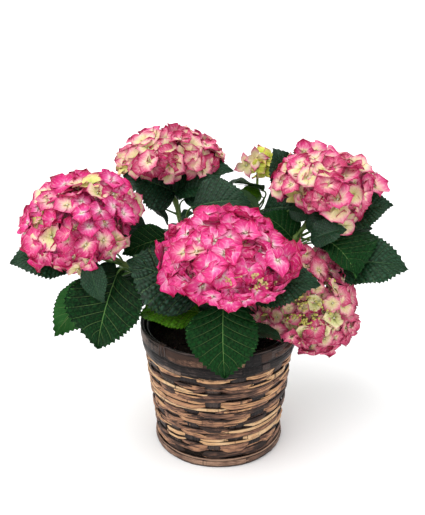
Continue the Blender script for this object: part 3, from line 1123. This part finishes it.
for tint, sh in leaf_shells.items():
    nodes = ["leaf_" + k for k, row in LEAVES.items() if k not in SMALL
             and ("deep" if k in DEEP else row[11]) == tint]
    sh.make("foliage_" + tint, [M_LEAF[tint]], "leaf_fresh" if tint == "fresh" else "leaf", nodes)


# ------------------------------------------------------------------ basket
def wall_r(z):
    return FOOT_R + (RIM_R - FOOT_R) * z / BASKET_H


STAKES = 19
PITCH = 10.6
NR = 96                         # rows of the map shared out between strips
SHIFT = 1.0                     # the cover sits a little to the right of the pot


def lattice(x, y, seed):
    """smooth random field with one value to a unit cell, -1..1"""
    x, y = np.broadcast_arrays(np.asarray(x, float), np.asarray(y, float))
    xi, yi = np.floor(x).astype(np.int64), np.floor(y).astype(np.int64)
    fx, fy = smooth01(x - xi), smooth01(y - yi)

    def h(a, b):
        k = (a * 73856093) ^ (b * 19349663) ^ (int(seed) * 83492791)
        k = ((k ^ (k >> 13)) * 1274126177) & 0x7fffffff
        k = (k ^ (k >> 15)) & 0xffff
        return k / 32767.5 - 1.0
    return ((h(xi, yi) * (1 - fx) + h(xi + 1, yi) * fx) * (1 - fy)
            + (h(xi, yi + 1) * (1 - fx) + h(xi + 1, yi + 1) * fx) * fy)


def strip_material(name, stops, dark, nrows, rough=0.55, spec=0.25, edge=0.75, spread=1.0, fibres=4.0,
                   cross=0.0, lines=0.85):
    """grain runs along each strip; every strip has a row of the map of its own"""
    m = Mat(name, rough=rough, spec=spec)
    u, v = m.uv()
    vr = m.math("MULTIPLY", v, float(nrows))
    row = m.math("FLOOR", vr)
    fr = m.math("FRACT", vr)
    tone = m.noise(m.xyz(m.math("MULTIPLY", row, 7.31), 0.5, 0.0), 1.0, 0.0)
    tone2 = m.noise(m.xyz(m.math("MULTIPLY", u, 3.0), m.math("MULTIPLY", row, 3.7)), 2.0, 3.0)
    lean = m.math("ADD", vr, m.math("MULTIPLY", u, cross))
    grain = m.noise(m.xyz(m.math("MULTIPLY", u, 4.0), m.math("MULTIPLY", lean, fibres)), 1.6, 3.0, 0.65)
    fine = m.noise(m.xyz(m.math("MULTIPLY", u, 9.0), m.math("MULTIPLY", lean, fibres * 2.6), 5.0), 1.6, 2.0, 0.6)
    knots = m.noise(m.xyz(m.math("MULTIPLY", u, 16.0), m.math("MULTIPLY", row, 1.3), 9.0), 2.0, 1.0)
    e = m.math("MULTIPLY", m.math("SUBTRACT", tone, 0.5), 1.9 * spread)
    e = m.math("ADD", e, m.math("MULTIPLY", m.math("SUBTRACT", tone2, 0.5), 1.1))
    e = m.math("ADD", e, m.math("MULTIPLY", m.math("SUBTRACT", grain, 0.5), 1.3))
    e = m.math("ADD", e, m.math("MULTIPLY", m.math("SUBTRACT", fine, 0.5), 0.8))
    col = m.ramp(m.math("ADD", e, 0.5), stops)
    line = m.span(grain, 0.43, 0.33, 0.0, lines)
    col = m.mix(line, col, dark)
    hair = m.span(fine, 0.40, 0.32, 0.0, 0.6 * lines)
    col = m.mix(hair, col, dark)
    col = m.mix(m.span(knots, 0.66, 0.74, 0.0, 0.7), col, dark)
    t = m.math("ABSOLUTE", m.math("DIVIDE", m.math("SUBTRACT", fr, 0.5), 0.38))
    col = m.mix(m.span(t, 0.52, 0.95, 0.0, edge), col, dark)
    ends = m.math("ABSOLUTE", m.math("SUBTRACT", m.math("MULTIPLY", u, 2.0), 1.0))
    col = m.mix(m.span(ends, 0.95, 1.0, 0.0, 0.5), col, dark)
    return m.base(col)


M_STRIP = strip_material("weave_strip", [(0.02, srgb(42, 29, 24)), (0.22, srgb(98, 69, 56)),
                                         (0.42, srgb(158, 114, 87)), (0.62, srgb(194, 147, 105)),
                                         (0.86, srgb(202, 160, 116)), (1.06, srgb(213, 178, 136))],
                         srgb(28, 18, 15), NR, edge=0.94, lines=0.97)
M_STAKE = strip_material("weave_stake", [(0.1, srgb(20, 15, 15)), (0.5, srgb(42, 33, 32)),
                                         (0.9, srgb(74, 62, 57))], srgb(8, 6, 6), STAKES, 0.5, 0.25,
                         fibres=7.0, lines=0.9)
M_CHAR = strip_material("rim_band_dark", [(0.15, srgb(9, 7, 7)), (0.5, srgb(28, 22, 22)),
                                          (0.85, srgb(72, 60, 56))], srgb(4, 3, 3), 24, 0.45, 0.16, fibres=5.0,
                        edge=0.95)
M_BAND = strip_material("rim_band_grey", [(0.15, srgb(34, 27, 25)), (0.5, srgb(70, 57, 51)),
                                          (0.85, srgb(122, 102, 90))], srgb(14, 10, 10), 24, 0.5, 0.16,
                        fibres=5.5, edge=0.95)
M_TAN = strip_material("rim_band_brown", [(0.15, srgb(54, 36, 28)), (0.5, srgb(98, 70, 55)),
                                          (0.85, srgb(154, 118, 92))], srgb(20, 13, 11), 24, 0.5, 0.18,
                       fibres=6.0, cross=1.6, edge=0.95)


def strip(shell, th, z, rad, width, thick, uvrow, nrows, ridge=0.2, seed=0, cols=9, mat=0, ribs=0, lift=0.0):
    """one flat strip lying on the wall: angle, height, radius and width along it"""
    n = len(th)
    e = np.linspace(-1, 1, cols)
    E = np.ones((n, 1)) * e
    L = (th * rad)[:, None]
    across = E * width[:, None] * 0.5
    crown = thick * (1 - 0.62 * E ** 2)
    fibre = lattice(L / 10 + seed * 3.1, across / 0.9 + seed, seed) + 0.6 * lattice(L / 4, across / 0.55 + 7, seed + 1)
    rel = ridge * fibre * (1 - 0.35 * E ** 2)
    if ribs:
        rel = rel + 0.22 * np.cos(E * math.pi * ribs)
    R = rad[:, None] + crown + rel + lift * E
    fray = 0.30 * lattice(L / 4.5 + seed, np.sign(E) * 3.3 + 0.5, seed + 2) * np.abs(E) ** 3
    Z = z[:, None] + across + fray
    X = np.cos(th)[:, None], np.sin(th)[:, None]
    top = np.stack([R * X[0] + SHIFT, R * X[1], Z], -1)
    Rb = rad[:, None] + lift * E * 0.5 + crown * 0 - 0.1
    bot = np.stack([Rb * X[0] + SHIFT, Rb * X[1], Z], -1)
    P = np.concatenate([top, bot[:, ::-1]], 1)
    x = np.linspace(0.004, 0.996, n)[:, None] * np.ones((1, 2 * cols + 1))
    yy = np.concatenate([np.linspace(0.12, 0.88, cols), np.linspace(0.90, 0.96, cols), [0.10]])
    y = (uvrow + np.ones((n, 1)) * yy) / nrows
    shell.grid(P, np.stack([x, y], -1), wrap=True, flip=True, mat=mat)


def out_r(z):
    """the visible wall, a little fuller than the body behind it at the top"""
    return wall_r(z) - 0.6 + 2.3 * np.clip(z / 150.0, 0, 1) ** 1.5


def weave():
    r = np.random.RandomState(11)
    z0, z1 = 8.5, 133.5
    turns = (z1 - z0) / PITCH
    total = turns * 2 * math.pi
    crossings = int(STAKES * turns) + 3
    # over or under each upright; now and then a strip runs on over it
    sign = np.ones((2, crossings))
    for k in range(crossings):
        if k % 2:
            d = r.rand()
            if d < 0.34:
                sign[:, k] = -1
            elif d < 0.60:
                sign[0, k] = -1
            elif d < 0.86:
                sign[1, k] = -1
    shells = [Shell(), Shell()]
    for lane in range(2):
        a = -0.3 * lane
        i = 0
        while a < total and i < NR - 30:
            length = r.uniform(0.8, 2.3)            # radians of wall covered
            a0, a1 = max(0.0, a - 0.16), min(a + length, total)
            a += length - r.uniform(0.0, 0.12)
            if a1 - a0 < 0.25:
                continue
            n = max(8, int((a1 - a0) * 24))
            ang = np.linspace(a0, a1, n)
            turn = ang / (2 * math.pi)
            s = STAKES * turn
            k0 = np.floor(s).astype(int)
            fr = s - k0
            w = smooth01((fr - 0.20) / 0.60)
            over = sign[lane][k0] * (1 - w) + sign[lane][np.minimum(k0 + 1, crossings - 1)] * w
            wide = r.rand() < 0.14
            wob = lattice(ang * 2.2, lane * 9.0 + i * 1.7, 21 + lane) * 1.1
            slope = r.uniform(-1.1, 1.1) * (ang - (a0 + a1) / 2) / (a1 - a0) * 2
            z = z0 + PITCH * turn + (2.6 if lane else -2.6) * (0.6 if wide else 1) + wob + slope + r.uniform(-0.5, 0.5)
            z = z + (0.5 if lane else -0.5) * over
            pinch = np.where(over > 0, 1.0, 0.80)
            end = smooth01((ang - a0) / 0.14) * smooth01((a1 - ang) / 0.14)
            width = (r.uniform(4.9, 6.8) if not wide else r.uniform(7.8, 9.2)) + 0.7 * lattice(ang * 3, i, 31)
            width = width * (0.22 + 0.78 * end) * pinch
            rad = out_r(z) - 2.5 + 1.75 * over + r.uniform(-0.4, 0.5) + 0.35 * lattice(ang * 4, i * 2.0, 33)
            rad = rad + 0.9 * (1 - end) * r.uniform(0.0, 1.0) + (0.4 if wide else 0)
            strip(shells[lane], ang, z, rad, width, 1.5, i, NR, seed=i * 7 + lane * 1000, ridge=0.34,
                  lift=r.uniform(-0.5, 0.5))
            i += 1
    # slim split strips that fill in over the gaps
    for j in range(60):
        k = r.randint(0, crossings - 4)
        a0 = (k - 0.9 + r.uniform(-0.2, 0.2)) / STAKES * 2 * math.pi
        a1 = a0 + r.uniform(1.6, 2.6) / STAKES * 2 * math.pi
        n = 16
        ang = np.linspace(a0, a1, n)
        z = z0 + PITCH * ang / (2 * math.pi) + r.uniform(-5, 5) + 0.5 * lattice(ang * 3, j, 61)
        z = np.clip(z, 10, 132)
        end = smooth01((ang - a0) / 0.10) * smooth01((a1 - ang) / 0.10)
        over = np.interp(ang * STAKES / (2 * math.pi), np.arange(crossings), sign[0]) * 0.5 + 0.3
        width = r.uniform(1.8, 3.2) * (0.25 + 0.75 * end)
        rad = out_r(z) - 2.4 + 1.75 * over + 0.6 + r.uniform(-0.2, 0.3) - 1.6 * (1 - end)
        strip(shells[j % 2], ang, z, rad, width, 0.8, NR - 30 + j // 2, NR, seed=j * 3 + 5000, ridge=0.18, cols=5)
    return shells


lanes = weave()
lanes[0].make("basket_weave_lower", [M_STRIP], "weave", ["basket"])
lanes[1].make("basket_weave_upper", [M_STRIP], "weave")

stake_shell = Shell()
for j in range(STAKES):
    th0 = 2 * math.pi * j / STAKES
    n = 96
    z = np.linspace(3, 155, n)
    turn = (z - 8.5) / PITCH
    # where the weaver runs behind, the stake comes forward
    row = turn - th0 / (2 * math.pi)
    near = np.round(row)
    par = (j + STAKES * near) % 2
    inout = np.where(par < 0.5, -1.0, 1.0) * np.cos(math.pi * (row - near)) ** 2
    rad = out_r(z) - 2.7 + 1.0 * inout
    e = np.linspace(-1, 1, 21)
    W = 9.6 + 0.8 * math.sin(j * 2.1) + 0.5 * lattice(z / 12, j, 44)
    ang = th0 + (0.5 * lattice(z / 20, j, 45)[:, None] + W[:, None] * e[None, :]) / rad[:, None]
    ribs = 0.34 * np.abs(np.sin((e * 2.5 + 0.5) * math.pi))[None, :] + 0.14 * lattice(e[None, :] * 9, z[:, None] / 6, j)
    Rr = rad[:, None] + 0.3 * (1 - e ** 4)[None, :] + ribs
    top = np.stack([Rr * np.cos(ang) + SHIFT, Rr * np.sin(ang), z[:, None] * np.ones(21)], -1)
    Rb = rad[:, None] - 0.8 + 0 * e[None, :]
    bot = np.stack([Rb * np.cos(ang) + SHIFT, Rb * np.sin(ang), z[:, None] * np.ones(21)], -1)[:, ::5]
    P = np.concatenate([top, bot[:, ::-1]], 1)
    cols = P.shape[1]
    x = np.linspace(0.004, 0.996, n)[:, None] * np.ones((1, cols + 1))
    yy = np.concatenate([np.linspace(0.12, 0.88, 21), np.linspace(0.9, 0.96, cols - 21), [0.10]])
    y = (j + np.ones((n, 1)) * yy) / STAKES
    stake_shell.grid(P, np.stack([x, y], -1), wrap=True)
stake_shell.make("basket_stakes", [M_STAKE], "band")

# heights of the wraps round the rim, by bearing: top, join of the two, foot
KNOTS = np.array([-180, -135, -117, -90, -60, -45, 0, 90, 150, 180.0])
RIM_TOP = np.array([160.0, 160.6, 159.8, 159.2, 158.6, 158.2, 159.5, 160.5, 160.2, 160.0])
RIM_MID = np.array([145.0, 146.2, 143.0, 142.2, 143.2, 144.0, 145.0, 145.5, 145.0, 145.0])
RIM_LOW = np.array([132.0, 130.6, 129.2, 129.0, 131.0, 132.0, 132.0, 131.5, 132.0, 132.0])


def rim(values, a):
    """one of the heights above at angles a, eased between its bearings"""
    d = (np.degrees(a) + 180) % 360 - 180
    i = np.clip(np.searchsorted(KNOTS, d, side="right") - 1, 0, len(KNOTS) - 2)
    t = smooth01((d - KNOTS[i]) / (KNOTS[i + 1] - KNOTS[i]))
    return values[i] * (1 - t) + values[i + 1] * t


def wrap(shell, a0, a1, top, low, rad, row, mat, seed, thick=1.1, cols=15, pad=(0.3, 0.3), tilt=(0.0, 0.0),
         ridge=0.34, nrows=24, ends=0.9):
    """a strip wound round the rim between two of those heights"""
    a0, a1 = math.radians(a0), math.radians(a1)
    n = int(abs(a1 - a0) * 46) + 8
    a = np.linspace(a0, a1, n)
    w = (a - a0) / (a1 - a0)
    hi = rim(top, a) - pad[0] + tilt[0] * (w - 0.5) + 0.5 * lattice(a * 5, seed, 70 + seed)
    lo = rim(low, a) + pad[1] + tilt[1] * (w - 0.5) + 0.5 * lattice(a * 5, seed + 3, 90 + seed)
    hold = ends + (1 - ends) * smooth01((a - a0) / 0.06) * smooth01((a1 - a) / 0.06)
    z = (hi + lo) / 2
    rr = out_r(z) + rad + 0.35 * lattice(a * 4, seed, 80 + seed)
    strip(shell, a, z, rr, (hi - lo) * hold, thick, row, nrows, ridge=ridge, seed=seed, cols=cols, mat=mat)


CHAR, GREY, TAN = 0, 1, 2
band = Shell()
NB = 24
# upper wrap: a dark ground, then long overlapping leaves of bark
wrap(band, -180, 180, RIM_TOP, RIM_MID, 0.4, 0, CHAR, 1, pad=(0.6, -0.6), cols=9)
wrap(band, -196, -138, RIM_TOP, RIM_MID, 1.0, 1, GREY, 2, tilt=(0.6, -0.6))
wrap(band, -150, -137, RIM_TOP, RIM_MID, 1.5, 2, GREY, 3, pad=(2.5, 1.5), cols=11)
wrap(band, -132, -90, RIM_TOP, RIM_MID, 1.1, 3, TAN, 4, tilt=(-0.8, 0.5))
wrap(band, -128, -101, RIM_TOP, RIM_MID, 1.8, 4, TAN, 5, pad=(6.5, 0.8), tilt=(2.5, 0.5), cols=11)
wrap(band, -95, -71, RIM_TOP, RIM_MID, 1.3, 5, TAN, 6, pad=(0.5, 0.8))
wrap(band, -72.5, -66, RIM_TOP, RIM_MID, 1.4, 6, CHAR, 7, pad=(0.4, 0.6))
wrap(band, -66.5, -60.5, RIM_TOP, RIM_MID, 1.6, 7, CHAR, 8, pad=(0.2, 0.4))
wrap(band, -60, -51, RIM_TOP, RIM_MID, 1.3, 8, TAN, 9, pad=(0.5, 0.5))
wrap(band, -51, -8, RIM_TOP, RIM_MID, 1.0, 9, CHAR, 10, pad=(0.4, 0.8), tilt=(0.5, 0.8))
wrap(band, -48, -14, RIM_TOP, RIM_MID, 1.7, 10, TAN, 11, pad=(6.5, 1.0), tilt=(-3.5, 1.0), cols=11)
wrap(band, -10, 52, RIM_TOP, RIM_MID, 1.2, 11, TAN, 12, tilt=(0.8, -0.5))
wrap(band, 50, 58, RIM_TOP, RIM_MID, 1.6, 6, CHAR, 13)
wrap(band, 57, 120, RIM_TOP, RIM_MID, 1.1, 1, GREY, 14, tilt=(-0.8, 0.6))
wrap(band, 116, 166, RIM_TOP, RIM_MID, 1.3, 3, TAN, 15, tilt=(0.5, 0.8))
# lower wrap, nearly black, with one or two brown leaves let in
wrap(band, -180, 180, RIM_MID, RIM_LOW, 0.5, 12, CHAR, 21, cols=13, pad=(0.9, 0.2))
wrap(band, -172, -100, RIM_MID, RIM_LOW, 1.2, 13, CHAR, 22, pad=(0.9, 4.2), tilt=(0.3, -2.0))
wrap(band, -178, -118, RIM_MID, RIM_LOW, 1.0, 14, GREY, 23, pad=(7.6, -0.6), tilt=(-1.0, -1.2), cols=9)
wrap(band, -112, -70, RIM_MID, RIM_LOW, 1.3, 15, CHAR, 24, pad=(1.0, 1.0), tilt=(-0.6, -0.8))
wrap(band, -74, -57, RIM_MID, RIM_LOW, 1.6, 16, CHAR, 25, pad=(0.4, 1.6))
wrap(band, -58.5, -52, RIM_MID, RIM_LOW, 1.9, 17, CHAR, 26, pad=(1.2, 2.2), cols=9)
wrap(band, -56, 10, RIM_MID, RIM_LOW, 1.3, 18, CHAR, 27, pad=(0.8, 2.6), tilt=(0.6, 1.2))
wrap(band, -64, -20, RIM_MID, RIM_LOW, 0.9, 19, TAN, 28, pad=(8.6, -1.4), tilt=(2.2, 1.6), cols=9)
wrap(band, 8, 90, RIM_MID, RIM_LOW, 1.2, 13, CHAR, 29, tilt=(-0.8, 0.8))
wrap(band, 84, 150, RIM_MID, RIM_LOW, 1.4, 15, CHAR, 30, tilt=(0.8, -0.5))
wrap(band, 140, 186, RIM_MID, RIM_LOW, 1.2, 16, CHAR, 31, pad=(1.0, 1.5))
# slim cords along the joins
for k, (lev, rad_, z_, row_, m_) in enumerate(((RIM_MID, 1.4, 0.3, 20, CHAR), (RIM_TOP, 0.7, 0.2, 21, CHAR),
                                               (RIM_LOW, 0.4, -0.6, 22, GREY))):
    a = np.linspace(-math.pi, math.pi, 260)
    zz = rim(lev, a) + z_ + 0.45 * lattice(a * 9, k * 5, 301 + k)
    rr = out_r(zz) + rad_ + 0.3 * lattice(a * 6, k, 311 + k)
    strip(band, a, zz, rr, 1.7 + 0.5 * lattice(a * 12, k * 3, 321 + k), 0.9, row_, NB, seed=400 + k, cols=5, mat=m_)
# inner lip of the rim
n = 260
a = np.linspace(0, 2 * math.pi, n)
dz = np.array([-0.2, 0.7, 0.2, -3.0, -10.0])
ro = np.array([1.6, 0.4, -1.8, -3.2, -4.2])
A, K = np.meshgrid(a, np.arange(5), indexing="ij")
Z = rim(RIM_TOP, A) + dz[K] + 0.3 * lattice(A * 8, 1.0, 71)
Rr = out_r(160.0) + ro[K] + 0.3 * lattice(A * 9, K * 1.0, 81)
lip = np.stack([Rr * np.cos(A) + SHIFT, Rr * np.sin(A), Z], -1)
uvl = np.stack([0.004 + 0.992 * A / (2 * math.pi), (23 + 0.1 + 0.16 * K) / NB], -1)
band.grid(lip, uvl, flip=False, mat=CHAR)
# a tie looped over the rim on the left: a flat strip between two cords
for k, (off, wide_mm, m_i) in enumerate(((-3.4, 1.0, CHAR), (-1.2, 0.8, TAN), (1.2, 1.1, CHAR), (3.6, 0.9, TAN),
                                         (6.0, 1.2, CHAR))):
    t_ = np.linspace(0, 1, 26)
    top_z = 160.6
    zz = np.interp(t_, [0, 0.10, 0.18, 0.26, 1], [top_z - 4, top_z + 0.6, top_z + 1.6, top_z, 146.5 + k * 0.4])
    rr = np.interp(t_, [0, 0.10, 0.18, 0.26, 1], [90.2, 91.0, 93.8, 96.9, out_r(147) + 3.0])
    e = np.linspace(-1, 1, 5)
    ang = math.radians(-134.5) + (off + e[None, :] * wide_mm + 0.6 * np.sin(t_ * 5 + k)[:, None]) / 94
    Rr = rr[:, None] + 0.5 * (1 - e ** 2)[None, :]
    P = np.stack([Rr * np.cos(ang) + SHIFT, Rr * np.sin(ang), zz[:, None] * np.ones(5)], -1)
    uv = np.stack([t_[:, None] * np.ones(5), (21 + (k % 2) + 0.15 + 0.7 * (e[None, :] * 0.5 + 0.5) * np.ones((26, 1))) / NB], -1)
    band.grid(P, uv, flip=True, mat=m_i)
band.make("basket_rim_bands", [M_CHAR, M_BAND, M_TAN], "band", ["basket_rim_band"])

M_FOOT = strip_material("foot_band", [(0.1, srgb(56, 40, 33)), (0.5, srgb(115, 85, 69)),
                                      (0.9, srgb(172, 138, 114))], srgb(20, 13, 12), 8, 0.52, 0.25, fibres=5.0)
foot = Shell()
for k, (zc, wd, ra, a0, a1) in enumerate(((5.4, 9.6, 0.9, -200, 160), (5.8, 7.6, 1.6, -150, -62), (6.4, 7.2, 1.7, -66, 40),
                                          (5.6, 7.4, 1.6, 36, 130), (6.0, 7.4, 1.7, 124, 214),
                                          (11.2, 2.6, 1.0, -230, 130))):
    a = np.linspace(math.radians(a0), math.radians(a1), int((a1 - a0) * 0.8))
    zz = zc + 0.35 * lattice(a * 5, k, 501)
    strip(foot, a, zz, wall_r(zz) + ra + 0.25 * lattice(a * 5, k, 511), wd + 0.4 * lattice(a * 6, k, 521), 0.9, k, 8,
          seed=600 + k, cols=11 if wd > 4 else 5, ridge=0.3)
n = 160
a = np.linspace(0, 2 * math.pi, n)
prof = [(wall_r(3) + 1.3, 4.0), (wall_r(3) + 1.0, 1.2), (77.0, 0.15), (70, 0.0), (40, 0.0), (1, 0.0)]
A = a[:, None] * np.ones((1, len(prof)))
pr = np.array(prof)
bot = np.stack([pr[:, 0] * np.cos(A) + SHIFT * 0.7, pr[:, 0] * np.sin(A), np.ones_like(A) * pr[:, 1]], -1)
uvb = np.stack([0.004 + 0.992 * A / (2 * math.pi), (7 + 0.1 + 0.8 * np.linspace(0, 1, len(prof))[None, :] * np.ones((n, 1))) / 8], -1)
foot.grid(bot, uvb, flip=True)
foot.make("basket_foot", [M_FOOT], "band", ["basket_foot_band"])

# dark inner skin behind the weave so that no light shows through it
M_INNER = Mat("weave_inner", rough=0.8, spec=0.2)
nz = M_INNER.noise(M_INNER.place(), 180.0, 3.0)
M_INNER.base(M_INNER.ramp(nz, [(0.3, srgb(24, 19, 17)), (0.7, srgb(58, 46, 40))]))
inner = Shell()
zz = np.concatenate([[2.0], np.linspace(6, 158, 24)])
A, Z = np.meshgrid(np.linspace(0, 2 * math.pi, 97)[:-1], zz, indexing="ij")
Ro = wall_r(Z) - 3.6
P = np.stack([Ro * np.cos(A), Ro * np.sin(A), Z], -1)
inner.grid(np.concatenate([P, P[:1]]), None)
Ri = wall_r(Z) - 4.5
P = np.stack([Ri * np.cos(A), Ri * np.sin(A), Z], -1)
inner.grid(np.concatenate([P, P[:1]]), None, flip=True)
inner.make("basket_inner_skin", [M_INNER.m], "band", uv=False)

# ------------------------------------------------------------------ grow pot and soil
M_POT = Mat("pot_plastic", rough=0.28, spec=0.5, base=srgb(20, 20, 23))
pn = M_POT.noise(M_POT.place(), 60.0, 2.0)
M_POT.base(M_POT.ramp(pn, [(0.3, srgb(15, 15, 17)), (0.7, srgb(30, 30, 33))]))
pot = Shell()


def pot_r(z):
    return wall_r(z) - WALL - 1.2


prof = [(1.0, 4.4), (pot_r(6) - 4, 4.4), (pot_r(14) - 1, 14), (pot_r(150), 150), (pot_r(151) + 0.9, 151.5),
        (pot_r(157) + 0.9, 156.2), (pot_r(157) + 0.3, 157.0), (pot_r(157) - 0.9, 156.6),
        (pot_r(152) - 1.3, 151), (pot_r(130) - 1.6, 130), (pot_r(20) - 2.6, 20), (1.0, 18)]
pr = np.array(prof)
A = np.linspace(0, 2 * math.pi, 145)[:, None] * np.ones((1, len(prof)))
wob = 1 + 0.004 * ripple(A * 3, pr[:, 1][None, :] * 0.05, 0, 3) * (pr[:, 1] > 120)
P = np.stack([pr[:, 0] * wob * np.cos(A), pr[:, 0] * wob * np.sin(A), np.ones_like(A) * pr[:, 1]], -1)
P[-1] = P[0]
pot.grid(P, None)
pot.make("grow_pot_shell", [M_POT.m], "pot_plastic", ["grow_pot"], uv=False)

M_SOIL = Mat("potting_soil", rough=0.95, spec=0.15)
sn = M_SOIL.noise(M_SOIL.place(), 420.0, 4.0)
M_SOIL.base(M_SOIL.ramp(sn, [(0.30, srgb(12, 9, 7)), (0.55, srgb(28, 21, 17)), (0.8, srgb(60, 46, 35))]))
soil = Shell()
nr, na = 60, 150
Rg, Ag = np.meshgrid(np.linspace(0.5, pot_r(SOIL_TOP) - 2.4, nr), np.linspace(0, 2 * math.pi, na + 1), indexing="xy")
X, Y = Rg * np.cos(Ag), Rg * np.sin(Ag)
Z = SOIL_TOP + 0.6 + 1.6 * ripple(X * 0.12, Y * 0.12, 0, 7) + 0.8 * ripple(X * 0.6, Y * 0.6, 0, 8) \
    + 0.5 * ripple(X * 1.7, Y * 1.7, 0, 9)
P = np.stack([X, Y, Z], -1)
P[-1] = P[0]
soil.grid(P, None, flip=True)
side = P[:, -1]
low = side.copy()
low[:, :2] *= 0.93
low[:, 2] = 12
soil.grid(np.stack([side, low], 1), None, flip=True)
floor_ring = np.stack([low, low * vec(0.01, 0.01, 1)], 1)
soil.grid(floor_ring, None, flip=True)
r = np.random.RandomState(4)
for k in range(900):
    rr = math.sqrt(r.rand()) * (pot_r(SOIL_TOP) - 5)
    aa = r.uniform(0, 6.3)
    V, T = ICO0
    s = r.uniform(0.7, 2.4) * (1 if r.rand() < 0.9 else 1.8)
    Vd = V * r.uniform(0.6, 1.2, (12, 1)) * s * r.uniform(0.6, 1.4, 3)
    soil.body(Vd + vec(rr * math.cos(aa), rr * math.sin(aa), SOIL_TOP + 1.2), T)
soil.make("potting_soil_top", [M_SOIL.m], "soil", ["soil"], uv=False)

# ------------------------------------------------------------------ stage and light
floor_mesh = bpy.data.meshes.new("floor")
s = 40.0
floor_mesh.from_pydata([(-s, -s, 0), (s, -s, 0), (s, s, 0), (-s, s, 0)], [], [(0, 1, 2, 3)])
floor = bpy.data.objects.new("floor", floor_mesh)
scene.collection.objects.link(floor)
M_FLOOR = Mat("floor_white", rough=0.9, spec=0.0, base=(0.985, 0.985, 0.985, 1))
floor_mesh.materials.append(M_FLOOR.m)

# white all round the horizon, dimmer overhead so that hollows stay deep
world = bpy.data.worlds.new("studio")
scene.world = world
world.use_nodes = True
wt = world.node_tree
bg = wt.nodes["Background"]
bg.inputs[0].default_value = (1.0, 1.0, 1.0, 1.0)
co = wt.nodes.new("ShaderNodeTexCoord")
sp = wt.nodes.new("ShaderNodeSeparateXYZ")
mr = wt.nodes.new("ShaderNodeMapRange")
mr.interpolation_type = "SMOOTHSTEP"
for i, x in zip((1, 2, 3, 4), (0.27, 0.55, 1.2, 0.88)):
    mr.inputs[i].default_value = x
wt.links.new(co.outputs["Generated"], sp.inputs[0])
wt.links.new(sp.outputs[2], mr.inputs[0])
wt.links.new(mr.outputs[0], bg.inputs[1])


def sun(name, toward, strength, angle, colour=(1, 1, 1)):
    L = bpy.data.lights.new(name, "SUN")
    L.energy = strength
    L.angle = math.radians(angle)
    L.color = colour
    o = bpy.data.objects.new(name, L)
    o.rotation_euler = Vector(toward).to_track_quat("Z", "Y").to_euler()
    scene.collection.objects.link(o)
    return o


sun("key", (-0.50, -0.30, 0.90), 1.75, 60)
sun("back", (0.25, 0.75, 0.75), 0.5, 50)

print("faces", {k: s.faces() for k, s in leaf_shells.items()},
      {k: s.faces() for k, s in heads_out.items()}, "beads", beads.faces(), "stalks", pedicels.faces(),
      "weave", [l.faces() for l in lanes])
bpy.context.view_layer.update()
